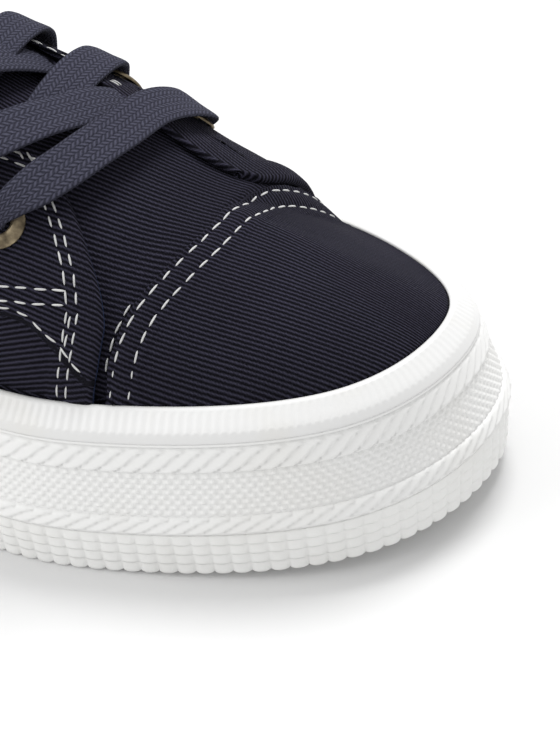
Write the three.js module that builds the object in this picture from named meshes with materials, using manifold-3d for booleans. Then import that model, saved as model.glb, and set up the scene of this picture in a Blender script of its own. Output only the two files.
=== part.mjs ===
// A low canvas sneaker on a platform rubber sole, for the right foot.
// Toe is +X, the inner side of the foot is +Y, the floor is Z = 0. Sizes are millimetres.

import * as THREE from 'three';
import { mergeVertices } from 'three/addons/utils/BufferGeometryUtils.js';
import Module from 'manifold-3d';

const wasm = await Module();
wasm.setup();

// Driving sizes of the sole
const soleLength = 268;
const ballWidth = 96;
const toeSpring = 5;
const toeSpringStart = 49;
const outsoleHeight = 10.4;
const studFlare = 1.2;
const studPitch = 3.8;
const studsPerRib = 2;
const studDepth = 0.5;
const sidewallHeight = 29.4;
const sidewallInset = 4.3;
const bandStep = 0.4;
const footbedHeight = 24;

// Driving sizes of the foxing strip, the upper and what lies in it
const foxingRise = 5.1;
const featherHeight = sidewallHeight + foxingRise;
const featherInset = 10.2;
const stripEdge = 1.2;
const canvasWall = 1.8;
const overlayWall = 1.5;
const tongueWall = 2;
const tongueUnderlap = 13;
const insoleThickness = 3.6;
const instepRise = 70;
const collarRise = 52;
const heelTabRise = 60;
const throatHalfWidth = 14;
const throatFlare = 3;
const heelStripWidth = 24;
const gap = 0.3;

// Sizes of the lacing
const eyeletRows = 5;
const eyeletPitch = 14;
const firstEyelet = 46;
const firstInnerEyelet = 57;
const innerEyeletPitch = 16;
const eyeletSetback = 16;
const eyeletRadius = 5.6;
const eyeletBore = 2.6;
const eyeletThickness = 0.9;
const laceWidth = 9.5;
const crossReach = 0.62;
const laceThickness = 1.6;

// Mesh resolution
const ribCount = 76;
const riseSteps = 8;

const halfLength = soleLength / 2;
const halfWidth = ballWidth / 2;

// Outline of the sole seen from above, from the heel round the outer side to the toe and back.
// along is a share of half the length, across a share of half the ball width.
const outlineTable = [
  { name: 'heel back', along: -1, across: 0.025 },
  { name: 'heel outer corner', along: -0.91, across: -0.505 },
  { name: 'heel outer side', along: -0.67, across: -0.705 },
  { name: 'waist outer side', along: -0.36, across: -0.74 },
  { name: 'middle outer side', along: -0.04, across: -0.845 },
  { name: 'ball outer side', along: 0.317, across: -0.993 },
  { name: 'toe outer side', along: 0.564, across: -0.94 },
  { name: 'toe outer corner', along: 0.886, across: -0.583 },
  { name: 'toe tip', along: 1, across: 0.101 },
  { name: 'toe inner corner', along: 0.901, across: 0.619 },
  { name: 'toe inner side', along: 0.636, across: 0.974 },
  { name: 'ball inner side', along: 0.336, across: 0.968 },
  { name: 'middle inner side', along: 0, across: 0.765 },
  { name: 'waist inner side', along: -0.336, across: 0.635 },
  { name: 'heel inner side', along: -0.67, across: 0.685 },
  { name: 'heel inner corner', along: -0.91, across: 0.505 },
];

// Ridge of the last: its height over the foxing's top edge as a share of the instep rise.
const ridgeTable = [
  { along: -1, rise: 1.31, across: 0.025 },
  { along: -0.6, rise: 1.31, across: -0.005 },
  { along: -0.34, rise: 1.17, across: -0.005 },
  { along: -0.15, rise: 1, across: 0.015 },
  { along: 0, rise: 0.864, across: 0.035 },
  { along: 0.15, rise: 0.729, across: 0.045 },
  { along: 0.3, rise: 0.6, across: 0.045 },
  { along: 0.41, rise: 0.5, across: 0.045 },
  { along: 0.5, rise: 0.393, across: 0.045 },
  { along: 0.58, rise: 0.314, across: 0.045 },
  { along: 0.72, rise: 0.229, across: 0.045 },
  { along: 0.85, rise: 0.164, across: 0.035 },
  { along: 1, rise: 0.1, across: 0.035 },
];

// The ribs of the last on each side: their lean inward at the foxing in degrees, how far the side
// bulges out as a share of the ball width, and how full the section is, where 1 is an ellipse.
const outerRibs = [
  { along: -1, lean: 2, bulge: 0.031, full: 1 },
  { along: -0.7, lean: 2, bulge: 0.021, full: 1.2 },
  { along: -0.3, lean: 2, bulge: 0.005, full: 1.45 },
  { along: 0, lean: 3, bulge: 0, full: 1.4 },
  { along: 0.3, lean: 8, bulge: 0, full: 1.22 },
  { along: 0.45, lean: 14, bulge: 0, full: 1.08 },
  { along: 0.7, lean: 18, bulge: 0, full: 1.04 },
  { along: 1, lean: 18, bulge: 0, full: 1.15 },
];
const innerRibs = [
  { along: -1, lean: 2, bulge: 0.031, full: 1 },
  { along: -0.7, lean: 2, bulge: 0.021, full: 1.2 },
  { along: -0.3, lean: 2, bulge: 0.005, full: 1.45 },
  { along: 0, lean: 3, bulge: 0, full: 1.4 },
  { along: 0.3, lean: 8, bulge: 0, full: 1.38 },
  { along: 0.45, lean: 12, bulge: 0, full: 1.3 },
  { along: 0.58, lean: 15, bulge: 0, full: 1.22 },
  { along: 0.7, lean: 30, bulge: 0, full: 0.76 },
  { along: 0.85, lean: 28, bulge: 0, full: 0.82 },
  { along: 1, lean: 18, bulge: 0, full: 1.15 },
];
const bulgeRise = 55;
const toeFan = 0.58;
const heelFan = -0.52;

// Top line of the collar: height over the foxing's top edge as a share of the collar rise.
const collarTable = [
  { along: -1.1, rise: heelTabRise / collarRise },
  { along: -0.93, rise: heelTabRise / collarRise },
  { along: -0.82, rise: 1.03 },
  { along: -0.62, rise: 0.9 },
  { along: -0.42, rise: 0.9 },
  { along: -0.24, rise: 1.02 },
  { along: -0.13, rise: 1.2 },
];
const throatTop = -0.13;
const throatFront = 0.36;
const tongueTop = -0.3;
const tongueFront = 0.46;

// Front edges of the quarters, from the throat down to the foxing, and rear edge of the toe cap,
// from its middle to the foxing. across is counted from the ridge, to either side.
const outerFront = [
  { along: 0.36, across: 0.292 },
  { along: 0.395, across: 0.345 },
  { along: 0.435, across: 0.43 },
  { along: 0.47, across: 0.52 },
  { along: 0.498, across: 0.61 },
  { along: 0.509, across: 0.68 },
  { along: 0.507, across: 0.75 },
  { along: 0.5, across: 0.82 },
  { along: 0.495, across: 1.15 },
];
const innerFront = [
  { along: 0.36, across: 0.265 },
  { along: 0.42, across: 0.252 },
  { along: 0.467, across: 0.25 },
  { along: 0.5, across: 0.254 },
  { along: 0.532, across: 0.266 },
  { along: 0.568, across: 0.29 },
  { along: 0.59, across: 0.34 },
  { along: 0.6, across: 0.43 },
  { along: 0.604, across: 0.55 },
  { along: 0.6, across: 0.7 },
  { along: 0.59, across: 0.85 },
  { along: 0.58, across: 1.15 },
];
const outerCapRear = [
  { along: 0.6, across: 0 },
  { along: 0.595, across: 0.15 },
  { along: 0.583, across: 0.3 },
  { along: 0.567, across: 0.44 },
  { along: 0.55, across: 0.56 },
  { along: 0.538, across: 0.66 },
  { along: 0.529, across: 0.76 },
  { along: 0.524, across: 0.86 },
  { along: 0.52, across: 1.15 },
];
const innerCapRear = [
  { along: 0.6, across: 0 },
  { along: 0.602, across: 0.175 },
  { along: 0.608, across: 0.34 },
  { along: 0.618, across: 0.5 },
  { along: 0.624, across: 0.65 },
  { along: 0.622, across: 0.8 },
  { along: 0.61, across: 1.15 },
];

// Closed and open curves

function closedSpline(points, stepsPerSpan) {
  const count = points.length;
  let controls = points.map((p) => p.clone());
  for (let pass = 0; pass < 30; pass += 1) {
    const previous = controls.map((c) => c.clone());
    controls = previous.map((c, i) => {
      const before = previous[(i + count - 1) % count];
      const after = previous[(i + 1) % count];
      const reached = before.clone().addScaledVector(c, 4).add(after).divideScalar(6);
      return c.clone().add(points[i]).sub(reached);
    });
  }
  const curve = [];
  for (let i = 0; i < count; i += 1) {
    for (let step = 0; step < stepsPerSpan; step += 1) {
      const t = step / stepsPerSpan;
      const weights = [
        (1 - t) ** 3,
        3 * t ** 3 - 6 * t ** 2 + 4,
        -3 * t ** 3 + 3 * t ** 2 + 3 * t + 1,
        t ** 3,
      ];
      const point = new THREE.Vector2();
      weights.forEach((w, k) => point.addScaledVector(controls[(i + k + count - 1) % count], w / 6));
      curve.push(point);
    }
  }
  return curve;
}

// Reads a column of a table at a place along the shoe, on a curve without overshoot.
function readTable(table, column, along) {
  const x = table.map((row) => row.along);
  const y = table.map((row) => row[column]);
  const last = x.length - 1;
  const at = Math.min(Math.max(along, x[0]), x[last]);
  const slope = x.slice(1).map((value, i) => (y[i + 1] - y[i]) / (value - x[i]));
  const tangent = (i) => {
    if (i === 0 || i === last) {
      return slope[Math.min(i, last - 1)];
    }
    if (slope[i - 1] * slope[i] <= 0) {
      return 0;
    }
    return 2 / (1 / slope[i - 1] + 1 / slope[i]);
  };
  let span = 0;
  while (span < last - 1 && at > x[span + 1]) {
    span += 1;
  }
  const width = x[span + 1] - x[span];
  const t = (at - x[span]) / width;
  return (2 * t ** 3 - 3 * t ** 2 + 1) * y[span]
    + (t ** 3 - 2 * t ** 2 + t) * width * tangent(span)
    + (3 * t ** 2 - 2 * t ** 3) * y[span + 1]
    + (t ** 3 - t ** 2) * width * tangent(span + 1);
}

// Outline with its length measured, so that ribs and studs are spaced evenly
const outlineCurve = closedSpline(
  outlineTable.map((row) => new THREE.Vector2(row.along * halfLength, row.across * halfWidth)),
  24,
);
const outlineRun = [0];
outlineCurve.forEach((point, i) => {
  const next = outlineCurve[(i + 1) % outlineCurve.length];
  outlineRun.push(outlineRun[i] + point.distanceTo(next));
});
const outlineLength = outlineRun[outlineCurve.length];

// The outline at a share of its length from the heel, moved inward by an inset.
function outlineAt(share, inset) {
  const count = outlineCurve.length;
  const run = (share - Math.floor(share)) * outlineLength;
  let i = 0;
  while (i < count - 1 && outlineRun[i + 1] < run) {
    i += 1;
  }
  const t = (run - outlineRun[i]) / (outlineRun[i + 1] - outlineRun[i]);
  const corner = (k) => outlineCurve[(k + count) % count];
  const normalAt = (k) => {
    const along = corner(k + 1).clone().sub(corner(k - 1)).normalize();
    return new THREE.Vector2(along.y, -along.x);
  };
  const normal = normalAt(i).multiplyScalar(1 - t).addScaledVector(normalAt(i + 1), t).normalize();
  const point = corner(i).clone().lerp(corner(i + 1), t).addScaledVector(normal, -inset);
  return { point, normal };
}

function springAt(x) {
  const t = Math.min(Math.max((x - toeSpringStart) / (halfLength - toeSpringStart), 0), 1.1);
  return toeSpring * t ** 2;
}

function soleRing(count, inset, height) {
  return Array.from({ length: count }, (_, i) => {
    const offset = typeof inset === 'function' ? inset(i) : inset;
    const { point } = outlineAt(i / count, offset);
    return new THREE.Vector3(point.x, point.y, height + springAt(point.x));
  });
}

// Meshes from rings

function meshFrom(positions, triangles) {
  const geometry = new THREE.BufferGeometry();
  const numbers = positions.flatMap((p) => [p.x, p.y, p.z]);
  geometry.setAttribute('position', new THREE.Float32BufferAttribute(numbers, 3));
  geometry.setIndex(triangles.flat());
  const merged = mergeVertices(geometry, 1e-4);
  const index = merged.getIndex().array;
  const kept = [];
  for (let i = 0; i < index.length; i += 3) {
    const [a, b, c] = [index[i], index[i + 1], index[i + 2]];
    if (a !== b && b !== c && c !== a) {
      kept.push(a, b, c);
    }
  }
  merged.setIndex(kept);
  return merged;
}

// Sides of a stack of rings, running up the list. With loop, the last ring joins the first.
function ringSides(rings, loop) {
  const count = rings[0].length;
  const triangles = [];
  const spans = loop ? rings.length : rings.length - 1;
  for (let r = 0; r < spans; r += 1) {
    const low = r * count;
    const high = ((r + 1) % rings.length) * count;
    for (let i = 0; i < count; i += 1) {
      const next = (i + 1) % count;
      triangles.push([low + i, low + next, high + next], [low + i, high + next, high + i]);
    }
  }
  return triangles;
}

// Closes a ring with rungs from each point to the one across the shoe.
function ringCap(start, count, up) {
  const triangles = [];
  for (let i = 0; i < count / 2; i += 1) {
    const a = start + i;
    const b = start + i + 1;
    const c = start + ((count - i - 1) % count);
    const d = start + ((count - i) % count);
    const faces = [[a, b, c], [a, c, d]];
    faces.forEach(([p, q, s]) => {
      if (p !== q && q !== s && s !== p) {
        triangles.push(up ? [p, q, s] : [p, s, q]);
      }
    });
  }
  return triangles;
}

function cappedStack(rings) {
  const count = rings[0].length;
  const top = (rings.length - 1) * count;
  return meshFrom(rings.flat(), [
    ...ringSides(rings, false),
    ...ringCap(0, count, false),
    ...ringCap(top, count, true),
  ]);
}

// The last: a closed form whose ribs rise from the foxing to the ridge

function lastPoint(share, rise, grow) {
  const inset = featherInset + overlayWall + gap - grow;
  const { point: foot, normal } = outlineAt(share, inset);
  const { point: mirror } = outlineAt(1 - share, inset);
  const middle = (foot.x + mirror.x) / 2;
  const ridgeX = Math.min(Math.max(middle, heelFan * halfLength), toeFan * halfLength);
  const ridgeY = readTable(ridgeTable, 'across', ridgeX / halfLength) * halfWidth;
  const ribs = share - Math.floor(share) < 0.5 ? outerRibs : innerRibs;
  const lean = THREE.MathUtils.degToRad(readTable(ribs, 'lean', foot.x / halfLength));
  const bulge = readTable(ribs, 'bulge', foot.x / halfLength) * ballWidth;
  const power = 1 / readTable(ribs, 'full', foot.x / halfLength);
  const angle = lean + (Math.PI / 2 - lean) * rise;
  const inward = 1 - Math.max(Math.cos(angle) / Math.cos(lean), 0) ** power;
  const upward = ((Math.sin(angle) - Math.sin(lean)) / (1 - Math.sin(lean))) ** power;
  const x = foot.x + (ridgeX - foot.x) * inward;
  const y = foot.y + (ridgeY - foot.y) * inward;
  const height = (readTable(ridgeTable, 'rise', x / halfLength) * instepRise + grow) * upward;
  const out = bulge * Math.sin(Math.PI * Math.min(height / bulgeRise, 1));
  return new THREE.Vector3(
    x + normal.x * out,
    y + normal.y * out,
    featherHeight + springAt(x) + height,
  );
}

function lastForm(grow, baseHeight, steps = riseSteps) {
  const base = soleRing(ribCount, featherInset + overlayWall + gap - grow, baseHeight);
  const rings = [base];
  for (let step = 0; step <= steps; step += 1) {
    const rise = step / steps;
    rings.push(Array.from({ length: ribCount }, (_, i) => lastPoint(i / ribCount, rise, grow)));
  }
  const ridge = rings[rings.length - 1];
  ridge.forEach((point, i) => {
    if (i > ribCount / 2) {
      point.copy(ridge[ribCount - i]);
    }
  });
  return meshFrom(rings.flat(), [...ringSides(rings, false), ...ringCap(0, ribCount, false)]);
}

// Solids for joining and cutting

function solidOf(geometry) {
  const plain = geometry.clone();
  plain.deleteAttribute('normal');
  plain.deleteAttribute('uv');
  const merged = mergeVertices(plain, 1e-4);
  return new wasm.Manifold(new wasm.Mesh({
    numProp: 3,
    vertProperties: new Float32Array(merged.getAttribute('position').array),
    triVerts: new Uint32Array(merged.getIndex().array),
  }));
}

function geometryOf(solid) {
  const { vertProperties, triVerts } = solid.getMesh();
  const geometry = new THREE.BufferGeometry();
  geometry.setAttribute('position', new THREE.Float32BufferAttribute(vertProperties, 3));
  geometry.setIndex(Array.from(triVerts));
  return geometry;
}

// A flat outline in plan, standing from one height to another.
function planBlock(points, bottom, top) {
  const shape = new THREE.Shape(points.map(([x, y]) => new THREE.Vector2(x, y)));
  const block = new THREE.ExtrudeGeometry(shape, { depth: top - bottom, bevelEnabled: false });
  return solidOf(block.translate(0, 0, bottom));
}

// A flat outline seen from the side, reaching through the whole shoe.
function sideBlock(points) {
  const shape = new THREE.Shape(points.map(([x, z]) => new THREE.Vector2(x, z)));
  const block = new THREE.ExtrudeGeometry(shape, { depth: 2 * ballWidth, bevelEnabled: false });
  return solidOf(block.rotateX(Math.PI / 2).translate(0, ballWidth, 0));
}

const sky = featherHeight + 3 * instepRise;
const aboveSides = featherHeight + 0.3 * instepRise;

// All that lies above the collar's top line and behind the throat.
function collarCut() {
  const line = [];
  const first = collarTable[0].along;
  const steps = 26;
  for (let i = 0; i <= steps; i += 1) {
    const along = first + ((throatTop - first) * i) / steps;
    const rise = readTable(collarTable, 'rise', along) * collarRise;
    line.push([along * halfLength, featherHeight + rise]);
  }
  return sideBlock([...line, [throatTop * halfLength, sky], [first * halfLength, sky]]);
}

const outerGrow = gap + overlayWall;
const ridgeYAt = (along) => readTable(ridgeTable, 'across', along) * halfWidth;

// The throat's slot in plan, with a round front end.
function throatCut() {
  const half = throatHalfWidth;
  const centre = throatFront * halfLength - half;
  const points = [];
  const arcSteps = 8;
  for (let i = 0; i <= arcSteps; i += 1) {
    const angle = -Math.PI / 2 + (Math.PI * i) / arcSteps;
    points.push([centre + half * Math.cos(angle), ridgeYAt(throatFront) + half * Math.sin(angle)]);
  }
  const back = throatTop * 2 * halfLength;
  const backY = ridgeYAt(throatTop);
  points.push([back, backY + half + throatFlare], [back, backY - half - throatFlare]);
  return planBlock(points, aboveSides, sky);
}

// The parts

function makeOutsole() {
  const count = 2 * Math.round(outlineLength / (studPitch * studsPerRib));
  const ribbed = (inset) => (i) => inset + (i % 2) * studDepth;
  return cappedStack([
    soleRing(count, ribbed(0), 0),
    soleRing(count, ribbed(-studFlare), outsoleHeight - 0.6),
    soleRing(count, -studFlare + studDepth, outsoleHeight),
  ]);
}

// Side of the platform: inset follows the height, and each band stands out or lies back.
const bandTable = [
  { name: 'lower rope band', from: 0.02, to: 0.19, proud: 1 },
  { name: 'pip band', from: 0.215, to: 0.66, proud: 0 },
  { name: 'upper rope band', from: 0.685, to: 0.915, proud: 1 },
  { name: 'lip', from: 0.94, to: 1, proud: 2 },
];

function makeMidsole() {
  const bottom = outsoleHeight + gap;
  const rings = [];
  bandTable.forEach(({ from, to, proud }) => {
    [from, to].forEach((share) => {
      const inset = -studFlare + (sidewallInset + studFlare) * share - proud * bandStep + bandStep;
      rings.push(soleRing(ribCount, inset, bottom + (sidewallHeight - bottom) * share));
    });
  });
  const inner = featherInset - gap;
  rings.push(soleRing(ribCount, inner, sidewallHeight));
  rings.push(soleRing(ribCount, inner, footbedHeight));
  const base = soleRing(ribCount, -studFlare + bandStep, bottom);
  return cappedStack([base, ...rings]);
}

function makeFoxing() {
  const bottom = sidewallHeight + gap;
  const rise = featherHeight - bottom;
  const inner = featherInset - gap;
  const topOuter = inner - stripEdge;
  const outer = sidewallInset + 0.2;
  const rings = [
    soleRing(ribCount, inner, bottom),
    soleRing(ribCount, outer, bottom),
    soleRing(ribCount, outer + 0.25 * (topOuter - outer), bottom + 0.4 * rise),
    soleRing(ribCount, topOuter, featherHeight - 0.2),
    soleRing(ribCount, inner, featherHeight),
  ];
  return meshFrom(rings.flat(), ringSides(rings, true));
}

function makeInsole() {
  const inset = featherInset + overlayWall + gap + canvasWall + gap;
  const bottom = footbedHeight + gap;
  return cappedStack([
    soleRing(ribCount, inset, bottom),
    soleRing(ribCount, inset, bottom + insoleThickness),
  ]);
}

function makeUpper() {
  const outer = solidOf(lastForm(0, footbedHeight + gap));
  const inner = solidOf(lastForm(-canvasWall, footbedHeight - canvasWall));
  return geometryOf(outer.subtract(inner).subtract(collarCut()).subtract(throatCut()));
}

function makeTongue() {
  const top = -canvasWall - gap;
  const steps = riseSteps - 2;
  const outer = solidOf(lastForm(top, footbedHeight, steps));
  const inner = solidOf(lastForm(top - tongueWall, footbedHeight - canvasWall, steps));
  const half = throatHalfWidth + tongueUnderlap;
  const y = ridgeYAt(0);
  const region = planBlock([
    [tongueTop * halfLength, y - half - throatFlare],
    [tongueFront * halfLength, y - half + 2 * throatFlare],
    [tongueFront * halfLength, y + half - 2 * throatFlare],
    [tongueTop * halfLength, y + half + throatFlare],
  ], aboveSides, sky);
  return geometryOf(outer.subtract(inner).intersect(region));
}

// Finds where the last, grown by some thickness, passes a place seen from above.
function surfaceAt(x, y, grow) {
  const outerSide = y < ridgeYAt(x / halfLength);
  let share = outerSide ? 0.25 : 0.75;
  let rise = 0.5;
  for (let pass = 0; pass < 5; pass += 1) {
    let [heel, toe] = outerSide ? [0, 0.5] : [1, 0.5];
    let [foot, ridge] = [0, 1];
    for (let i = 0; i < 18; i += 1) {
      share = (heel + toe) / 2;
      if (lastPoint(share, rise, grow).x < x) {
        heel = share;
      } else {
        toe = share;
      }
    }
    for (let i = 0; i < 18; i += 1) {
      rise = (foot + ridge) / 2;
      const reach = lastPoint(share, rise, grow).y;
      if (outerSide ? reach < y : reach > y) {
        foot = rise;
      } else {
        ridge = rise;
      }
    }
  }
  return { share, rise, ...faceAt(share, rise, grow) };
}

function faceAt(share, rise, grow) {
  const step = 1e-3;
  const point = lastPoint(share, rise, grow);
  const around = lastPoint(share + step, rise, grow).sub(point);
  const upward = lastPoint(share, rise, grow).sub(lastPoint(share, rise - step, grow));
  return { point, normal: around.cross(upward).normalize() };
}

// A place on the canvas beside the throat, some way down from the throat's edge.
function besideThroat(x, side, distance) {
  const back = (throatFront - x / halfLength) / (throatFront - throatTop);
  const half = throatHalfWidth + throatFlare * Math.max(back, 0);
  const edge = surfaceAt(x, ridgeYAt(x / halfLength) + side * half, outerGrow);
  const step = 0.005;
  let travelled = 0;
  let rise = edge.rise;
  let point = edge.point;
  while (travelled < distance && rise > 2 * step) {
    rise -= step;
    const next = lastPoint(edge.share, rise, outerGrow);
    travelled += next.distanceTo(point);
    point = next;
  }
  return faceAt(edge.share, rise, outerGrow);
}

// One layer of canvas over the upper, cut to a region.
function overlay(region, thickness) {
  const outer = solidOf(lastForm(gap + thickness, footbedHeight + gap));
  const inner = solidOf(lastForm(gap, footbedHeight - canvasWall));
  return geometryOf(outer.subtract(inner).subtract(collarCut()).intersect(region));
}

function edgeInPlan(table, side) {
  return table.map(({ along, across }) => [along * halfLength, ridgeYAt(along) + side * across * halfWidth]);
}

const stripEdgeX = -0.7 * halfLength;

function makeQuarter(side) {
  const heelX = -1.1 * halfLength;
  const farY = side * 1.15 * halfWidth;
  const heelY = ridgeYAt(-1) + side * (heelStripWidth / 2 + gap);
  const throatX = throatTop * halfLength;
  const points = [
    [heelX, farY],
    ...edgeInPlan(side > 0 ? innerFront : outerFront, side).reverse(),
    [throatX, ridgeYAt(throatTop) + side * (throatHalfWidth + throatFlare)],
    [throatX - throatHalfWidth, heelY],
    [heelX, heelY],
  ];
  const region = planBlock(side > 0 ? points : points.reverse(), 0, sky);
  return overlay(region.subtract(throatCut()), overlayWall);
}

function makeHeelStrip() {
  const y = ridgeYAt(-1);
  const half = heelStripWidth / 2;
  const region = planBlock([
    [-1.1 * halfLength, y - half],
    [stripEdgeX, y - half],
    [stripEdgeX, y + half],
    [-1.1 * halfLength, y + half],
  ], 0, sky);
  return overlay(region, overlayWall);
}

function makeToeCap() {
  const outerSide = edgeInPlan(outerCapRear, -1);
  const innerSide = edgeInPlan(innerCapRear, 1);
  const toeX = 1.1 * halfLength;
  const region = planBlock([
    ...outerSide.slice(1).reverse(),
    ...innerSide,
    [toeX, 1.15 * halfWidth],
    [toeX, -1.15 * halfWidth],
  ].reverse(), 0, sky);
  return overlay(region, overlayWall);
}

function eyeletPlace(row, side) {
  const outerX = firstEyelet - row * eyeletPitch;
  const innerX = firstInnerEyelet - row * innerEyeletPitch;
  return besideThroat(side < 0 ? outerX : innerX, side, eyeletSetback);
}

function makeEyelet() {
  const profile = [
    [eyeletBore, 0],
    [eyeletRadius, 0],
    [eyeletRadius - 0.5, eyeletThickness * 0.7],
    [eyeletBore + 0.8, eyeletThickness],
    [eyeletBore, eyeletThickness * 0.6],
    [eyeletBore, 0],
  ].map(([x, y]) => new THREE.Vector2(x, y));
  const ring = new THREE.LatheGeometry(profile, 10).rotateX(Math.PI / 2);
  return meshFrom(pointsOf(ring), facesOf(ring));
}

function pointsOf(geometry) {
  const position = geometry.getAttribute('position');
  const read = (_, i) => new THREE.Vector3().fromBufferAttribute(position, i);
  return Array.from({ length: position.count }, read);
}

function facesOf(geometry) {
  const index = Array.from(geometry.getIndex().array);
  return Array.from({ length: index.length / 3 }, (_, i) => index.slice(3 * i, 3 * i + 3));
}

// A flat lace through a run of places, each with the direction that its face looks.
function ribbon(stations) {
  const rings = stations.map(({ point, up, width }, i) => {
    const before = stations[Math.max(i - 1, 0)].point;
    const after = stations[Math.min(i + 1, stations.length - 1)].point;
    const across = after.clone().sub(before).cross(up).normalize();
    const lift = across.clone().cross(after.clone().sub(before)).normalize();
    const corners = [[-1, -1], [-1, 1], [1, 1], [1, -1]];
    return corners.map(([a, b]) => point.clone()
      .addScaledVector(across, (a * width) / 2)
      .addScaledVector(lift, (b * laceThickness) / 2));
  });
  const last = 4 * (rings.length - 1);
  return meshFrom(rings.flat(), [
    ...ringSides(rings, false),
    [0, 2, 1], [0, 3, 2],
    [last, last + 1, last + 2], [last, last + 2, last + 3],
  ]);
}

// A stretch of lace across the throat. Shares run from its start to its end, lift is over the
// canvas's outer face.
function laceStretch(start, end, stations) {
  const clearance = gap + laceThickness / 2;
  return ribbon(stations.map(({ share, lift, narrow }) => {
    const x = start.x + (end.x - start.x) * share;
    const y = start.y + (end.y - start.y) * share;
    const { point, normal } = surfaceAt(x, y, outerGrow);
    point.addScaledVector(normal, clearance + lift);
    return { point, up: normal, width: laceWidth * narrow };
  }));
}

const overEyelet = eyeletThickness + 4 * gap;
const laceBarStations = [
  { share: 0, lift: overEyelet, narrow: 0.55 },
  { share: 0.12, lift: overEyelet, narrow: 0.85 },
  { share: 0.3, lift: overEyelet * 1.2, narrow: 1 },
  { share: 0.5, lift: overEyelet * 1.2, narrow: 1 },
  { share: 0.7, lift: overEyelet * 1.2, narrow: 1 },
  { share: 0.88, lift: overEyelet, narrow: 0.85 },
  { share: 1, lift: overEyelet, narrow: 0.55 },
];
const laceCrossStations = [
  { share: 0, lift: overEyelet, narrow: 0.55 },
  { share: 0.16, lift: overEyelet, narrow: 0.85 },
  { share: 0.34, lift: overEyelet, narrow: 0.95 },
  { share: 0.6, lift: overEyelet * 0.4, narrow: 0.95 },
  { share: 0.8, lift: -0.8, narrow: 0.85 },
  { share: 1, lift: -1.9, narrow: 0.7 },
];

function makeLaceBar() {
  const [start, end] = [-1, 1].map((side) => eyeletPlace(0, side).point);
  return laceStretch(start, end, laceBarStations);
}

// Two stretches that cross: each starts over an eyelet and slips under the other side's edge.
function makeLaceCross(row) {
  const strands = [-1, 1].map((side) => {
    const start = eyeletPlace(row, side).point;
    const across = eyeletPlace(row - 1, -side).point;
    const endX = start.x + crossReach * (across.x - start.x);
    const endY = ridgeYAt(endX / halfLength) - side * (throatHalfWidth - laceWidth / 3);
    const end = new THREE.Vector2(endX, endY);
    return solidOf(laceStretch(start, end, laceCrossStations));
  });
  return geometryOf(strands[0].add(strands[1]));
}

const white = { color: 0xeeedea, roughness: 0.55, metalness: 0 };
const navy = { color: 0x20222f, roughness: 0.95, metalness: 0 };
const laceBlue = { color: 0x2c2e3c, roughness: 0.9, metalness: 0 };
const brass = { color: 0x8a7a5c, roughness: 0.4, metalness: 1 };

function part(name, geometry, look) {
  const mesh = new THREE.Mesh(geometry, new THREE.MeshStandardMaterial(look));
  mesh.name = name;
  return mesh;
}

const sneaker = new THREE.Group();
sneaker.add(part('outsole', makeOutsole(), white));
sneaker.add(part('midsole', makeMidsole(), white));
sneaker.add(part('foxing_strip', makeFoxing(), white));
sneaker.add(part('insole', makeInsole(), { color: 0xd8d4cb, roughness: 0.9, metalness: 0 }));
sneaker.add(part('upper', makeUpper(), navy));
sneaker.add(part('tongue', makeTongue(), navy));
sneaker.add(part('quarter_outer', makeQuarter(-1), navy));
sneaker.add(part('quarter_inner', makeQuarter(1), navy));
sneaker.add(part('toe_cap', makeToeCap(), navy));
sneaker.add(part('heel_strip', makeHeelStrip(), navy));

for (let row = 0; row < eyeletRows; row += 1) {
  [-1, 1].forEach((side) => {
    const label = side < 0 ? 'outer' : 'inner';
    const eyelet = part(`eyelet_${label}_${row + 1}`, makeEyelet(), brass);
    const { point, normal } = eyeletPlace(row, side);
    eyelet.position.copy(point.addScaledVector(normal, gap));
    eyelet.quaternion.setFromUnitVectors(new THREE.Vector3(0, 0, 1), normal);
    sneaker.add(eyelet);
  });
}

sneaker.add(part('lace_bar', makeLaceBar(), laceBlue));
for (let row = 1; row < eyeletRows; row += 1) {
  sneaker.add(part(`lace_cross_${row}`, makeLaceCross(row), laceBlue));
}

export default sneaker;
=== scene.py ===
"""A right canvas sneaker: ribbed twill upper, white rubber platform, flat cotton lace.

Lengths are in millimetres in the shoe's own frame (x to the toe, y to the inner side, z up)
and turned into metres when a mesh is made.
"""

import math

import bmesh
import bpy
import numpy as np
from mathutils import Matrix, Vector


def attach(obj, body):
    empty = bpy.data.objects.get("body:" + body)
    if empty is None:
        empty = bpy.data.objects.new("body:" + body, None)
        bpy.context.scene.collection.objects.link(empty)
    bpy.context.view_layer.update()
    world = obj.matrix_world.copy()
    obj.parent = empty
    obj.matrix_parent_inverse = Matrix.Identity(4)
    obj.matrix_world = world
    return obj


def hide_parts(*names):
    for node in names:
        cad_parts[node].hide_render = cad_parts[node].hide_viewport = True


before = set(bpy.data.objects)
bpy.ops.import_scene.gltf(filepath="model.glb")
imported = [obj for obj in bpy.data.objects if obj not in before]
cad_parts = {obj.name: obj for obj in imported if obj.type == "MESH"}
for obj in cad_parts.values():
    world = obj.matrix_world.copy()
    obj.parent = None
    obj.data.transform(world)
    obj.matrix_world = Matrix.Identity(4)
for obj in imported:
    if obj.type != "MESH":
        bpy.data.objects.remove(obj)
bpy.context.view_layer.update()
random = np.random.default_rng(7)
MM = 0.001
WELD = 2e-6

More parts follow.
